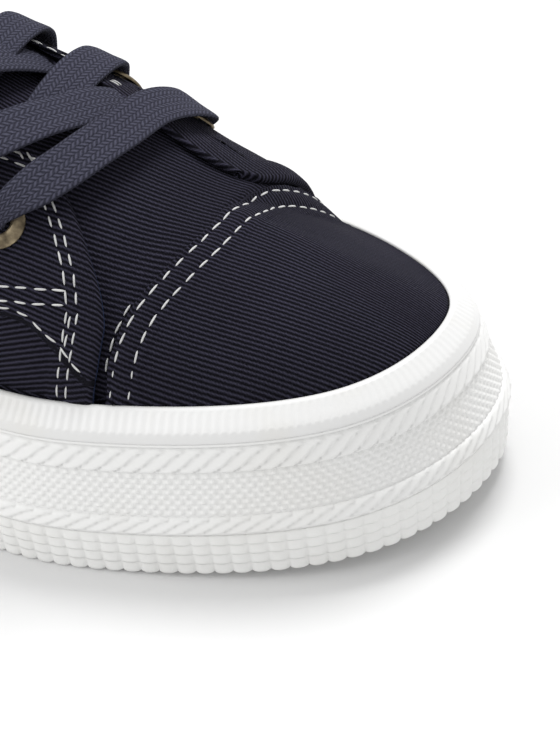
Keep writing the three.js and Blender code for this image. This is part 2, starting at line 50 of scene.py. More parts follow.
# Driving sizes, as in the part's source
SOLE_LENGTH = 268.0
BALL_WIDTH = 96.0
HALF_LENGTH = SOLE_LENGTH / 2
HALF_WIDTH = BALL_WIDTH / 2
TOE_SPRING = 5.0
TOE_SPRING_START = 49.0
OUTSOLE_HEIGHT = 10.4
STUD_FLARE = 1.2
SIDEWALL_HEIGHT = 29.4
SIDEWALL_INSET = 4.3
BAND_STEP = 0.4
FOOTBED_HEIGHT = 24.0
FEATHER_HEIGHT = 34.5
FEATHER_INSET = 10.2
STRIP_EDGE = 1.2
CANVAS_WALL = 1.8
OVERLAY_WALL = 1.5
TONGUE_WALL = 2.0
TONGUE_UNDERLAP = 13.0
INSOLE_THICKNESS = 3.6
INSTEP_RISE = 70.0
COLLAR_RISE = 52.0
BULGE_RISE = 55.0
THROAT_HALF = 14.0
THROAT_FLARE = 3.0
HEEL_STRIP_HALF = 12.0
GAP = 0.3
EYELET_ROWS = 5
FIRST_EYELET = {-1: 46.0, 1: 57.0}
EYELET_PITCH = {-1: 14.0, 1: 16.0}
EYELET_SETBACK = 16.0
EYELET_RADIUS = 5.6
EYELET_BORE = 2.6
LACE_WIDTH = 9.5
LACE_THICKNESS = 1.6
TOE_FAN = 0.58
HEEL_FAN = -0.52
THROAT_TOP = -0.13
THROAT_FRONT = 0.36
TONGUE_TOP = -0.3
TONGUE_FRONT = 0.46
OUTER_GROW = GAP + OVERLAY_WALL
LAST_INSET = FEATHER_INSET + OVERLAY_WALL + GAP

# Sole outline from the heel round the outer side: share of half length, share of half width
OUTLINE = [
    (-1, .025), (-.91, -.505), (-.67, -.705), (-.36, -.74), (-.04, -.845), (.317, -.993),
    (.564, -.94), (.886, -.583), (1, .101), (.901, .619), (.636, .974), (.336, .968),
    (0, .765), (-.336, .635), (-.67, .685), (-.91, .505),
]
# Ridge line of the last: along, rise (share of the instep's), across
RIDGE = [
    (-1, 1.31, .025), (-.6, 1.31, -.005), (-.34, 1.17, -.005), (-.15, 1, .015),
    (0, .864, .035), (.15, .729, .045), (.3, .6, .045), (.41, .5, .045), (.5, .393, .045),
    (.58, .314, .045), (.72, .229, .045), (.85, .164, .035), (1, .1, .035),
]
# Ribs of the last: along, lean in degrees, bulge (share of the ball's width), fullness
OUTER_RIBS = [
    (-1, 2, .031, 1), (-.7, 2, .021, 1.2), (-.3, 2, .005, 1.45), (0, 3, 0, 1.4),
    (.3, 8, 0, 1.22), (.45, 14, 0, 1.08), (.7, 18, 0, 1.04), (1, 18, 0, 1.15),
]
INNER_RIBS = [
    (-1, 2, .031, 1), (-.7, 2, .021, 1.2), (-.3, 2, .005, 1.45), (0, 3, 0, 1.4),
    (.3, 8, 0, 1.38), (.45, 12, 0, 1.3), (.58, 15, 0, 1.22), (.7, 30, 0, .76),
    (.85, 28, 0, .82), (1, 18, 0, 1.15),
]
# Collar's top line: along, rise (share of the collar's)
COLLAR = [
    (-1.1, 60 / 52), (-.93, 60 / 52), (-.82, 1.03), (-.62, .9), (-.42, .9), (-.24, 1.02),
    (-.13, 1.2),
]
# Front edge of the quarters and rear edge of the toe cap: across from the ridge, along
OUTER_FRONT = [
    (.292, .36), (.345, .395), (.43, .435), (.52, .47), (.61, .498), (.68, .509),
    (.75, .507), (.82, .5), (1.15, .495),
]
# The inner edge runs along the throat first: along, across from the ridge
INNER_THROAT = [(.36, .265), (.42, .252), (.467, .25), (.5, .254), (.532, .266), (.568, .29)]
INNER_FRONT = [
    (.29, .568), (.34, .59), (.43, .6), (.55, .604), (.7, .6), (.85, .59), (1.15, .58),
]
CAP_REAR = [
    (-1.15, .52), (-.86, .524), (-.76, .529), (-.66, .538), (-.56, .55), (-.44, .567),
    (-.3, .583), (-.15, .595), (0, .6), (.175, .602), (.34, .608), (.5, .618), (.65, .624),
    (.8, .622), (1.15, .61),
]
# Lower edge of the quarter's upper panel: along, height over the foxing (share of the instep's)
PANEL_EDGE = [
    (-.75, .19), (-.3, .2), (.2, .235), (.37, .232), (.395, .222), (.415, .2), (.435, .17),
    (.455, .145), (.468, .12), (.485, .09), (.505, .065),
]
# Soft creases of the cloth: from (x, girth) to (x, girth), depth, width
CREASES = [
    ((66, -34), (72, -8), .35, 4.0), ((66, 30), (72, 6), .3, 4.5),
    ((52, -46), (30, -60), .5, 5.0), ((40, -36), (14, -58), -.35, 6.0),
    ((20, -40), (2, -66), .5, 6.0), ((52, 46), (28, 62), .5, 5.0),
    ((22, 42), (2, 66), -.4, 6.0), ((-10, -44), (-24, -74), .45, 7.0),
    ((-12, 44), (-26, 74), .45, 7.0), ((-58, -60), (-50, -92), .5, 8.0),
    ((-60, 60), (-50, 90), .5, 8.0), ((96, -16), (104, 6), .25, 7.0),
    ((88, 14), (96, 30), -.25, 6.0), ((-84, -60), (-92, -90), -.4, 7.0),
]


def read(table, at, column=1):
    """A column of a table at a place, on a curve without overshoot."""
    x = np.array([row[0] for row in table], float)
    y = np.array([row[column] for row in table], float)
    slope = np.diff(y) / np.diff(x)
    same = slope[:-1] * slope[1:] > 0
    safe = np.where(same, slope[:-1] * slope[1:], 1)
    inner = np.where(same, 2 * safe / np.where(same, slope[:-1] + slope[1:], 1), 0)
    tangent = np.concatenate([[slope[0]], inner, [slope[-1]]])
    at = np.clip(at, x[0], x[-1])
    span = np.clip(np.searchsorted(x, at) - 1, 0, len(x) - 2)
    width = x[span + 1] - x[span]
    t = (at - x[span]) / width
    return (
        (2 * t**3 - 3 * t**2 + 1) * y[span]
        + (t**3 - 2 * t**2 + t) * width * tangent[span]
        + (3 * t**2 - 2 * t**3) * y[span + 1]
        + (t**3 - t**2) * width * tangent[span + 1]
    )


def closed_spline(points, steps):
    controls = points.copy()
    for _ in range(30):
        reached = (np.roll(controls, 1, 0) + 4 * controls + np.roll(controls, -1, 0)) / 6
        controls = controls + points - reached
    t = np.arange(steps)[:, None] / steps
    weights = [(1 - t) ** 3, 3 * t**3 - 6 * t**2 + 4, -3 * t**3 + 3 * t**2 + 3 * t + 1, t**3]
    curve = []
    for i in range(len(points)):
        around = controls[np.arange(i - 1, i + 3) % len(points)]
        curve.append(sum(w * c for w, c in zip(weights, around)) / 6)
    return np.concatenate(curve)


edge_line = closed_spline(np.array(OUTLINE) * [HALF_LENGTH, HALF_WIDTH], 48)
edge_steps = np.hypot(*(np.roll(edge_line, -1, 0) - edge_line).T)
OUTLINE_LENGTH = edge_steps.sum()
edge_share = np.concatenate([[0], np.cumsum(edge_steps)]) / OUTLINE_LENGTH
edge_tangent = np.roll(edge_line, -1, 0) - np.roll(edge_line, 1, 0)
edge_tangent /= np.hypot(*edge_tangent.T)[:, None]
edge_table = np.column_stack([edge_line, edge_tangent[:, 1], -edge_tangent[:, 0]])
edge_table = np.vstack([edge_table, edge_table[:1]])


def outline_at(share, inset):
    """Point and outward normal of the outline, moved inward by the inset."""
    share = np.mod(share, 1.0)
    px, py, nx, ny = [np.interp(share, edge_share, edge_table[:, k]) for k in range(4)]
    size = np.hypot(nx, ny)
    nx, ny = nx / size, ny / size
    return px - nx * inset, py - ny * inset, nx, ny


def spring(x):
    t = np.clip((x - TOE_SPRING_START) / (HALF_LENGTH - TOE_SPRING_START), 0, 1.1)
    return TOE_SPRING * t**2


def ridge_y(x):
    return read(RIDGE, x / HALF_LENGTH, 2) * HALF_WIDTH


# Share of the outline over which the two halves of the last run into each other at the toe
TOE_BLEND = 0.09


def last_point(share, rise, grow):
    """Surface of the last at a share of the outline and a share of the way up to the ridge."""
    inset = LAST_INSET - grow
    fx, fy, nx, ny = outline_at(share, inset)
    mx = outline_at(1 - share, inset)[0]
    rx = np.clip((fx + mx) / 2, HEEL_FAN * HALF_LENGTH, TOE_FAN * HALF_LENGTH)
    ry = ridge_y(rx)
    place = fx / HALF_LENGTH
    inner = smooth_step((np.mod(share, 1.0) - 0.5) / TOE_BLEND + 0.5)
    lean, bulge, full = [
        read(OUTER_RIBS, place, k) * (1 - inner) + read(INNER_RIBS, place, k) * inner
        for k in (1, 2, 3)]
    lean, bulge, power = np.radians(lean), bulge * BALL_WIDTH, 1 / full
    angle = lean + (np.pi / 2 - lean) * rise
    inward = 1 - np.maximum(np.cos(angle) / np.cos(lean), 0) ** power
    climb = np.maximum((np.sin(angle) - np.sin(lean)) / (1 - np.sin(lean)), 0)
    x = fx + (rx - fx) * inward
    y = fy + (ry - fy) * inward
    height = (read(RIDGE, x / HALF_LENGTH, 1) * INSTEP_RISE + grow) * climb**power
    out = bulge * np.sin(np.pi * np.minimum(height / BULGE_RISE, 1))
    z = FEATHER_HEIGHT + spring(x) + height
    return np.stack(np.broadcast_arrays(x + nx * out, y + ny * out, z), -1)


def bisect(low, high, keeps):
    """Furthest value from low towards high for which keeps is true."""
    for _ in range(22):
        middle = (low + high) / 2
        inside = keeps(middle)
        low = np.where(inside, middle, low)
        high = np.where(inside, high, middle)
    return low


def highest(share, grow, keeps):
    """Rise up to which the last's surface keeps to a piece."""
    low = np.zeros(np.shape(share))
    return bisect(low, low + 1, lambda v: keeps(last_point(share, v, grow)))


def side_share(side, s):
    """s runs 0 at the heel to 0.5 at the toe; side is -1 for the outer side, 1 for the inner."""
    return s if side < 0 else 1 - s


def surface_at(x, y, grow):
    """Share, rise, point and normal of the last over a place in plan."""
    x, y = np.atleast_1d(x).astype(float), np.atleast_1d(y).astype(float)
    outer = y < ridge_y(x)
    rise = np.full(x.shape, 0.5)
    s = np.full(x.shape, 0.25)
    for _ in range(6):
        share = lambda v: np.where(outer, v, 1 - v)
        s = bisect(np.zeros(x.shape), np.full(x.shape, .5),
                   lambda v: last_point(share(v), rise, grow)[..., 0] < x)

        def below(v):
            reach = last_point(share(s), v, grow)[..., 1]
            return np.where(outer, reach < y, reach > y)

        rise = bisect(np.zeros(x.shape), np.ones(x.shape), below)
    return face_at(share(s), rise, grow)


def face_at(share, rise, grow):
    step = 1e-3
    point = last_point(share, rise, grow)
    around = last_point(share + step, rise, grow) - point
    upward = point - last_point(share, rise - step, grow)
    return share, rise, point, unit(np.cross(around, upward))


def unit(v):
    size = np.linalg.norm(v, axis=-1, keepdims=True)
    return np.where(size > 1e-9, v / np.maximum(size, 1e-9), [0.0, 0.0, 1.0])


def smooth_step(t):
    t = np.clip(t, 0, 1)
    return t * t * (3 - 2 * t)


# Girth of the cloth: how far a point lies below the ridge, measured round the section
girth_x = np.linspace(-132, 128, 131)
girth_rise = np.linspace(1, 0, 81)


def girth_table(side):
    x, rise = np.meshgrid(girth_x, girth_rise, indexing="ij")
    s = bisect(np.zeros(x.shape), np.full(x.shape, .5),
               lambda v: last_point(side_share(side, v), rise, 0)[..., 0] < x)
    point = last_point(side_share(side, s), rise, 0)
    found = np.abs(point[..., 0] - x) < 0.4
    step = np.hypot(np.diff(point[..., 1], axis=1), np.diff(point[..., 2], axis=1))
    step = np.where(found[:, 1:] & found[:, :-1], step, 0)
    run = np.concatenate([np.zeros((len(girth_x), 1)), np.cumsum(step, 1)], 1)
    whole = np.convolve(np.pad(run[:, -1], 6, mode="edge"), np.full(13, 1 / 13), "valid")
    return run + (whole - run[:, -1])[:, None] * (1 - girth_rise) ** 2


GIRTH = np.stack([-girth_table(-1), girth_table(1)])


def toe_girth(p, grow, steepness=0.55):
    """As girth_at, for the toe, from the place in plan and the drop below the ridge."""
    x = p[..., 0]
    away = p[..., 1] - ridge_y(x)
    top = FEATHER_HEIGHT + spring(x) + read(RIDGE, x / HALF_LENGTH) * INSTEP_RISE + grow
    return away + steepness * np.maximum(top - p[..., 2], 0) * np.tanh(away / 6)


def girth_at(share, x, rise):
    """Signed distance round the section, negative on the outer side."""
    i = np.clip((x - girth_x[0]) / (girth_x[1] - girth_x[0]), 0, len(girth_x) - 1.001)
    j = np.clip((1 - rise) * (len(girth_rise) - 1), 0, len(girth_rise) - 1.001)
    i0, j0 = i.astype(int), j.astype(int)
    a, b = i - i0, j - j0
    half = (np.mod(share, 1.0) >= 0.5).astype(int)
    ahead = [GIRTH[half, i0 + k, j0] * (1 - b) + GIRTH[half, i0 + k, j0 + 1] * b for k in (0, 1)]
    return ahead[0] * (1 - a) + ahead[1] * a


def relief(x, girth):
    """Soft troughs and ridges of the cloth, the same for every layer."""
    total = 0.12 * np.sin(x / 9 + girth / 17) * np.sin(girth / 12 - x / 31)
    total = total * smooth_step((np.abs(girth) - 26) / 12)
    for (x0, g0), (x1, g1), depth, width in CREASES:
        along = np.array([x1 - x0, g1 - g0], float)
        t = np.clip(((x - x0) * along[0] + (girth - g0) * along[1]) / (along @ along), 0, 1)
        away = np.hypot(x - x0 - t * along[0], girth - g0 - t * along[1])
        fade = np.sin(np.pi * (0.15 + 0.7 * t))
        total = total - depth * fade * np.exp(-((away / width) ** 2))
    return total


def sample(values, run, at):
    """Vectors along a line, read at set distances."""
    return np.stack([np.interp(at, run, values[:, k]) for k in range(3)], -1)


def run_length(line):
    return np.concatenate([[0], np.cumsum(np.linalg.norm(np.diff(line, axis=0), axis=1))])


# Meshes

def grid_faces(rows, columns, closed=False, flip=False, start=0):
    """Quads over a grid of points; closed joins the last row to the first."""
    count = rows if closed else rows - 1
    place, column = np.arange(count)[:, None], np.arange(columns - 1)[None, :]
    a = (place * columns + column).ravel()
    b = ((place + 1) % rows * columns + column).ravel()
    order = (a, a + 1, b + 1, b) if flip else (a, b, b + 1, a + 1)
    return np.stack(order, 1) + start


def link_object(name, data):
    thing = bpy.data.objects.new(name, data)
    bpy.context.scene.collection.objects.link(thing)
    return thing


def make_mesh(name, points, faces, material, weave=None, edge=None, weld=False):
    """A smooth mesh in metres, its cloth coordinates and marked edge kept as attributes."""
    points = np.asarray(points, float).reshape(-1, 3)
    mesh = bpy.data.meshes.new(name)
    mesh.vertices.add(len(points))
    mesh.vertices.foreach_set("co", (points * MM).astype(np.float32).ravel())
    mesh.loops.add(faces.size)
    mesh.loops.foreach_set("vertex_index", faces.astype(np.int32).ravel())
    mesh.polygons.add(len(faces))
    starts = np.arange(0, faces.size, faces.shape[1], dtype=np.int32)
    mesh.polygons.foreach_set("loop_start", starts)
    mesh.update(calc_edges=True)
    mesh.validate()
    if weave is not None:
        flat = np.zeros((len(points), 3), np.float32)
        flat[:, :2] = weave.reshape(-1, 2)
        places = mesh.attributes.new("weave", "FLOAT_VECTOR", "POINT")
        places.data.foreach_set("vector", flat.ravel())
    if edge is not None:
        marks = mesh.attributes.new("edge", "FLOAT", "POINT")
        marks.data.foreach_set("value", edge.astype(np.float32).ravel())
    if weld:
        work = bmesh.new()
        work.from_mesh(mesh)
        bmesh.ops.remove_doubles(work, verts=work.verts, dist=WELD)
        work.to_mesh(mesh)
        work.free()
    mesh.polygons.foreach_set("use_smooth", np.ones(len(mesh.polygons), bool))
    mesh.materials.append(material)
    return link_object(name, mesh)


def joined(grids, flip=False):
    """Points and faces of several grids as one mesh."""
    faces, base = [], 0
    for p in grids:
        faces.append(grid_faces(*p.shape[:2], flip=flip, start=base))
        base += p.shape[0] * p.shape[1]
    return np.concatenate([p.reshape(-1, 3) for p in grids]), np.concatenate(faces)


def settle(thing, nodes=()):
    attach(thing, "root")
    if nodes:
        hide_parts(*nodes)
    return thing


def grid_normals(p):
    return unit(np.cross(np.gradient(p, axis=0), np.gradient(p, axis=1)))


# Materials

class Nodes:
    """A material's node tree, built by short calls."""

    def __init__(self, name):
        self.material = bpy.data.materials.new(name)
        self.material.use_nodes = True
        self.tree = self.material.node_tree
        self.tree.nodes.clear()
        self.shader = self.add("ShaderNodeBsdfPrincipled")
        out = self.add("ShaderNodeOutputMaterial")
        self.link(self.shader.outputs[0], out.inputs[0])

    def add(self, kind, **values):
        node = self.tree.nodes.new(kind)
        for key, value in values.items():
            setattr(node, key, value)
        return node

    def link(self, source, target):
        self.tree.links.new(source, target)

    def put(self, value, socket):
        if hasattr(value, "is_linked"):
            self.link(value, socket)
        else:
            socket.default_value = value

    def maths(self, operation, a, b=0.0, c=0.0):
        node = self.add("ShaderNodeMath", operation=operation)
        for value, socket in zip((a, b, c), node.inputs):
            self.put(value, socket)
        return node.outputs[0]

    def noise(self, scale, detail=2.0, vector=None):
        node = self.add("ShaderNodeTexNoise")
        node.inputs["Scale"].default_value = scale
        node.inputs["Detail"].default_value = detail
        self.put(vector if vector is not None else self.place(), node.inputs["Vector"])
        return node.outputs["Fac"]

    def place(self):
        return self.add("ShaderNodeTexCoord").outputs["Object"]

    def attribute(self, name, output="Vector"):
        node = self.add("ShaderNodeAttribute", attribute_name=name)
        return node.outputs[output]

    def split(self, vector):
        node = self.add("ShaderNodeSeparateXYZ")
        self.link(vector, node.inputs[0])
        return node.outputs

    def mix(self, share, a, b):
        node = self.add("ShaderNodeMix", data_type="RGBA")
        self.put(share, node.inputs["Factor"])
        self.put(a, node.inputs[6])
        self.put(b, node.inputs[7])
        return node.outputs[2]

    def wave(self, value, pitch):
        """0 to 1, once for every pitch."""
        turn = self.maths("MULTIPLY", value, 2 * math.pi / pitch)
        return self.maths("MULTIPLY_ADD", self.maths("SINE", turn), 0.5, 0.5)

    def clamp(self, value):
        return self.maths("MINIMUM", self.maths("MAXIMUM", value, 0.0), 1.0)

    def stray(self, noise, amount, value):
        """A value moved to and fro by a noise."""
        return self.maths("MULTIPLY_ADD", self.maths("SUBTRACT", noise, 0.5), amount, value)

    def bump(self, height, distance, strength=1.0):
        node = self.add("ShaderNodeBump")
        node.inputs["Distance"].default_value = distance
        node.inputs["Strength"].default_value = strength
        self.link(height, node.inputs["Height"])
        self.link(node.outputs[0], self.shader.inputs["Normal"])

    def finish(self, colour, roughness, metallic=0.0, sheen=0.0, gloss=0.5):
        self.put(colour, self.shader.inputs["Base Color"])
        self.put(roughness, self.shader.inputs["Roughness"])
        self.shader.inputs["Metallic"].default_value = metallic
        self.shader.inputs["Specular IOR Level"].default_value = gloss
        if sheen:
            self.shader.inputs["Sheen Weight"].default_value = sheen
            self.shader.inputs["Sheen Roughness"].default_value = 0.5
        return self.material


def rubber(name, colour, dirt, roughness=0.5):
    n = Nodes(name)
    patch = n.maths("MULTIPLY", n.maths("SUBTRACT", n.noise(60.0, 3.0), 0.5), 1.6)
    base = n.mix(n.maths("MAXIMUM", patch, 0.0), colour, dirt)
    n.bump(n.noise(900.0, 3.0), 0.00006, 0.5)
    return n.finish(base, roughness)


def twill(name, ridge, shaded_groove, piping, pitch=1.02, yarn_pitch=0.85, depth=0.0003):
    """Ribbed cloth: weave holds millimetres along and across the ribs, edge marks the piping."""
    n = Nodes(name)
    weave = n.attribute("weave")
    along, across, _ = n.split(weave)
    across = n.stray(n.noise(0.9, 2.0, weave), 0.28, across)
    rib = n.maths("POWER", n.wave(across, pitch), 1.5)
    yarn = n.wave(n.maths("MULTIPLY_ADD", across, 0.8, along), yarn_pitch)
    height = n.maths("MULTIPLY", rib, n.maths("MULTIPLY_ADD", yarn, 0.38, 0.66))
    height = n.stray(n.noise(3.2, 3.0, weave), 0.8, height)
    n.bump(height, depth)
    fade = n.maths("MULTIPLY_ADD", n.noise(34.0, 2.0), 0.7, 0.6)
    # Colour follows the weave's height: the low grooves between the ribs take the darker colour,
    # which is painted shade in the grooves, as the bump alone does not darken them; the noise fade
    # varies it at random.
    weave_shading = n.clamp(n.maths("MULTIPLY", height, fade))
    base = n.mix(n.attribute("edge", "Fac"), n.mix(weave_shading, shaded_groove, ridge), piping)
    return n.finish(base, 0.95, gloss=0.12)


def braid(name, ridge, shaded_groove, plait=1.1, pitch=1.24):
    """Flat lace: staggered chevrons in columns along the lace."""
    n = Nodes(name)
    weave = n.attribute("weave")
    along, across, _ = n.split(weave)
    wobble = n.maths("MULTIPLY", n.maths("SUBTRACT", n.noise(0.7, 2.0, weave), 0.5), 0.5)
    column = n.maths("PINGPONG", across, plait)
    stagger = n.maths("MODULO", n.maths("FLOOR", n.maths("DIVIDE", across, plait)), 2.0)
    place = n.maths("MULTIPLY_ADD", column, 0.9, n.maths("MULTIPLY_ADD", stagger, pitch / 2, along))
    yarn = n.maths("MULTIPLY_ADD", n.wave(n.maths("ADD", place, wobble), pitch), 0.7, 0.3)
    seam = n.maths("MINIMUM", n.maths("MULTIPLY", n.maths("PINGPONG", across, plait / 2), 3.5), 1.0)
    knit = n.maths("MULTIPLY", yarn, n.maths("MULTIPLY_ADD", seam, 0.45, 0.55))
    height = n.stray(n.noise(3.0, 3.0, weave), 0.7, knit)
    n.bump(height, 0.0003)
    # The braid's low places and the seams between its columns take the darker groove colour:
    # painted shade.
    return n.finish(n.mix(n.clamp(height), shaded_groove, ridge), 0.9, gloss=0.12)


def plain_cloth(name, ridge, shaded_groove, pitch=0.8):
    n = Nodes(name)
    x, y, z = n.split(n.place())
    warp = n.wave(n.maths("ADD", x, z), pitch * MM)
    weft = n.wave(n.maths("ADD", y, z), pitch * MM)
    height = n.maths("MAXIMUM", warp, weft)
    n.bump(height, 0.0001)
    # Colour follows the weave's height: the low places of the weave take the darker groove colour,
    # painted shade.
    weave_shading = n.maths("MULTIPLY", height, n.maths("MULTIPLY_ADD", n.noise(40.0), 0.6, 0.6))
    return n.finish(n.mix(weave_shading, shaded_groove, ridge), 0.95, sheen=0.1)


def thread_material(name, light, shade):
    n = Nodes(name)
    n.bump(n.noise(2600.0, 2.0), 0.00008)
    return n.finish(n.mix(n.noise(700.0, 2.0), shade, light), 0.75, sheen=0.2)


def aged_metal(name, bright, dark):
    n = Nodes(name)
    patina = n.clamp(n.maths("MULTIPLY_ADD", n.noise(420.0, 4.0), 2.2, -0.65))
    n.bump(n.noise(700.0, 3.0), 0.00012, 0.6)
    rough = n.maths("MULTIPLY_ADD", patina, -0.2, 0.55)
    return n.finish(n.mix(patina, dark, bright), rough, metallic=0.9)


white_rubber = rubber("platform rubber", (.82, .82, .81, 1), (.75, .74, .71, 1), 0.42)
stud_rubber = rubber("tread rubber", (.82, .82, .805, 1), (.72, .71, .68, 1), 0.5)
strip_rubber = rubber("foxing rubber", (.72, .72, .715, 1), (.67, .65, .59, 1), 0.38)
# For each cloth the first colour is its ridges and the second its grooves, darkened with painted
# shade; the twill's third colour is its piping.
navy_twill = twill(
    "navy twill", (.045, .043, .070, 1), (.001, .0008, .0025, 1), (.022, .036, .090, 1))
lace_cotton = braid("lace cotton", (.070, .071, .104, 1), (.005, .005, .010, 1))
lining_cloth = plain_cloth("lining cotton", (.42, .40, .36, 1), (.26, .25, .22, 1))
footbed_cloth = plain_cloth("footbed cloth", (.50, .48, .43, 1), (.30, .28, .25, 1), 1.1)
thread = thread_material("off-white thread", (.70, .70, .69, 1), (.40, .40, .40, 1))
brass = aged_metal("aged brass", (.38, .31, .20, 1), (.06, .045, .03, 1))


# Sole

def ring_points(share, inset, height):
    x, y, _, _ = outline_at(share, inset)
    return np.stack([x, y, height + spring(x)], -1)


def perimeter(cycles, per_cycle):
    count = cycles * per_cycle
    return np.arange(count)[:, None] / count


def levels(share, *values):
    """The same values at every place round the shoe."""
    return np.array([values]) + 0 * share


def plan_grid(inset, columns, rows):
    """Grid over the inside of the outline, its shares across and its widths."""
    s = np.linspace(0, 0.5, columns)[:, None]
    t = np.linspace(0, 1, rows)[None, :]
    ax, ay, _, _ = outline_at(s, inset)
    bx, by, _, _ = outline_at(1 - s, inset)
    return ax + (bx - ax) * t, ay + (by - ay) * t, t, np.hypot(bx - ax, by - ay)


def around(name, cycles, per_cycle, inset, height, material):
    """A wall round the shoe from arrays of inset and height, outer face outward."""
    share = perimeter(cycles, per_cycle)
    points = ring_points(share + 0 * inset, inset, height)
    return make_mesh(name, points, grid_faces(*points.shape[:2], closed=True), material)


STUD_ROWS, PIP_ROWS = 4, 9
TREAD_BLOCK = 6
# Pitches round the shoe, how often each fits, and how far the forms stand out
STUD_PITCH, ROPE_PITCH, PIP_PITCH, RIB_PITCH = 3.8, 4.07, 2.26, 1.93
STUD_CYCLES, ROPE_CYCLES, PIP_CYCLES, RIB_CYCLES = (
    round(OUTLINE_LENGTH / pitch) for pitch in (STUD_PITCH, ROPE_PITCH, PIP_PITCH, RIB_PITCH))
STUD_DEPTH, ROPE_DEPTH, PIP_DEPTH = 0.52, 0.85, 0.55
ROPE_SLANT = 8.6 / ROPE_PITCH


def tread_wall():
    per_cycle = 9
    share = perimeter(STUD_CYCLES, per_cycle)
    fine = np.arange(STUD_ROWS)[:, None] + np.array([0, .12, .28, .5, .75, .93])
    v = np.concatenate([fine.ravel() / STUD_ROWS, [1.0]])[None, :]
    u = np.abs(2 * np.mod(share * STUD_CYCLES, 1) - 1)
    side = 1 - u**3.6
    row = np.mod(v * STUD_ROWS, 1) * (v < 1)
    shelf = np.minimum(row / 0.14, 1) * np.maximum(1.05 - row, 0) ** 0.7
    top = OUTSOLE_HEIGHT - 0.25
    out = STUD_DEPTH * side * shelf
    inset = 0.5 - STUD_FLARE * 0.75 * v - out + 0.06 * u
    height = top * v + 0.55 * (1 - side) * (1 - v) ** 6 + 0.3 * side * (row < 0.1) * (v > 0.1)
    lead = [inset[:, :1] + 14, inset[:, :1] + 1.2]
    low = [height[:, :1] * 0 + 0.05, height[:, :1] * 0 + 0.0]
    inset = np.concatenate([*lead, inset, inset[:, -1:] + 1.6], 1)
    height = np.concatenate([*low, height, height[:, -1:] + 0.2], 1)
    return around("outsole_tread", STUD_CYCLES, per_cycle, inset, height, stud_rubber)


def tread_floor():
    """Underside of the sole: a field of low blocks."""
    x, y, _, _ = plan_grid(12.0, 200, 64)
    block = np.sin(x * np.pi / TREAD_BLOCK) * np.sin(y * np.pi / TREAD_BLOCK)
    z = 0.05 + 0.9 * smooth_step(0.5 - block * 2.2) + spring(x)
    faces = grid_faces(*x.shape, flip=True)
    return make_mesh("outsole_underside", np.stack([x, y, z], -1), faces, stud_rubber)


wall_bottom = OUTSOLE_HEIGHT + GAP
wall_rise = SIDEWALL_HEIGHT - wall_bottom


def wall_inset(share_up):
    return BAND_STEP - STUD_FLARE + (SIDEWALL_INSET + STUD_FLARE) * share_up


def rope(share, w):
    """Slanting strands of a rope band, each lapping over the next; w runs up the band."""
    eased = w + 0.35 * np.sin(2 * np.pi * w) / (2 * np.pi)
    turn = np.mod(share * ROPE_CYCLES - ROPE_SLANT * eased, 1)
    strand = (0.45 + 0.55 * turn) * np.minimum(1, (1 - turn) / 0.16) ** 0.7
    ends = np.minimum(1, np.minimum(w, 1 - w) / 0.1) ** 0.5
    return ROPE_DEPTH * strand * (0.2 + 0.8 * ends)


# Bands of the sidewall as shares of its height, with the ropes' rows of points
LOW_ROPE, HIGH_ROPE = (.015, .2, 10), (.68, .95, 13)
PIP_BAND = (.195, .69)
# Lip over the upper rope: share of the height, how far it stands out
LIP = [(.955, .1), (.962, .3), (.97, .45), (.98, .5), (.99, .5), (1.0, .42), (1.0, -2.6)]


def rope_bands():
    share = perimeter(ROPE_CYCLES, 9)
    inset, height = [], []

    def add(v, out):
        inset.append(wall_inset(v) - out + 0 * share)
        height.append(wall_bottom + wall_rise * v + 0 * share)

    def line(v, out):
        add(np.array([v])[None, :], np.array([out])[None, :])

    line(0.0, -3.0)
    line(0.004, 0.0)
    for low, high, count in (LOW_ROPE, HIGH_ROPE):
        if low > 0.5:
            line(low - .01, -1.6)
        w = np.linspace(0, 1, count)[None, :]
        add(low + (high - low) * w, rope(share, w) - 0.1)
        if low < 0.5:
            line(high + .01, -1.6)
    for v, out in LIP:
        line(v, out)
    inset, height = np.concatenate(inset, 1), np.concatenate(height, 1)
    return around("platform_rope_bands", ROPE_CYCLES, 9, inset, height, white_rubber)


def pip_band():
    share = perimeter(PIP_CYCLES, 6)
    w = np.linspace(0, 1, PIP_ROWS * 4 + 1)[None, :]
    v = PIP_BAND[0] + (PIP_BAND[1] - PIP_BAND[0]) * w
    pips = np.cos(2 * np.pi * share * PIP_CYCLES) * np.cos(np.pi * PIP_ROWS * w)
    pips = np.clip(pips, 0, 1) ** 0.75
    ends = np.minimum(1, np.minimum(w, 1 - w) / 0.04)
    inset = wall_inset(v) + 0.25 - PIP_DEPTH * pips * ends
    height = wall_bottom + wall_rise * v + 0 * share
    return around("platform_pip_band", PIP_CYCLES, 6, inset, height, white_rubber)


def platform_cup():
    """Inner wall and floor of the platform, under the insole."""
    share = perimeter(152, 2)
    inner = FEATHER_INSET - GAP
    inset = levels(share, SIDEWALL_INSET + 1.5, inner - 0.2, inner, inner)
    height = levels(share, SIDEWALL_HEIGHT, SIDEWALL_HEIGHT, SIDEWALL_HEIGHT - 0.3, FOOTBED_HEIGHT)
    wall = ring_points(share + 0 * inset, inset, height)
    x, y, _, _ = plan_grid(inner, 90, 30)
    floor = np.stack([x, y, FOOTBED_HEIGHT + spring(x)], -1)
    points = np.concatenate([wall.reshape(-1, 3), floor.reshape(-1, 3)])
    faces = np.concatenate([
        grid_faces(*wall.shape[:2], closed=True), grid_faces(*x.shape, start=wall[..., 0].size),
    ])
    return make_mesh("platform_cup", points, faces, white_rubber)


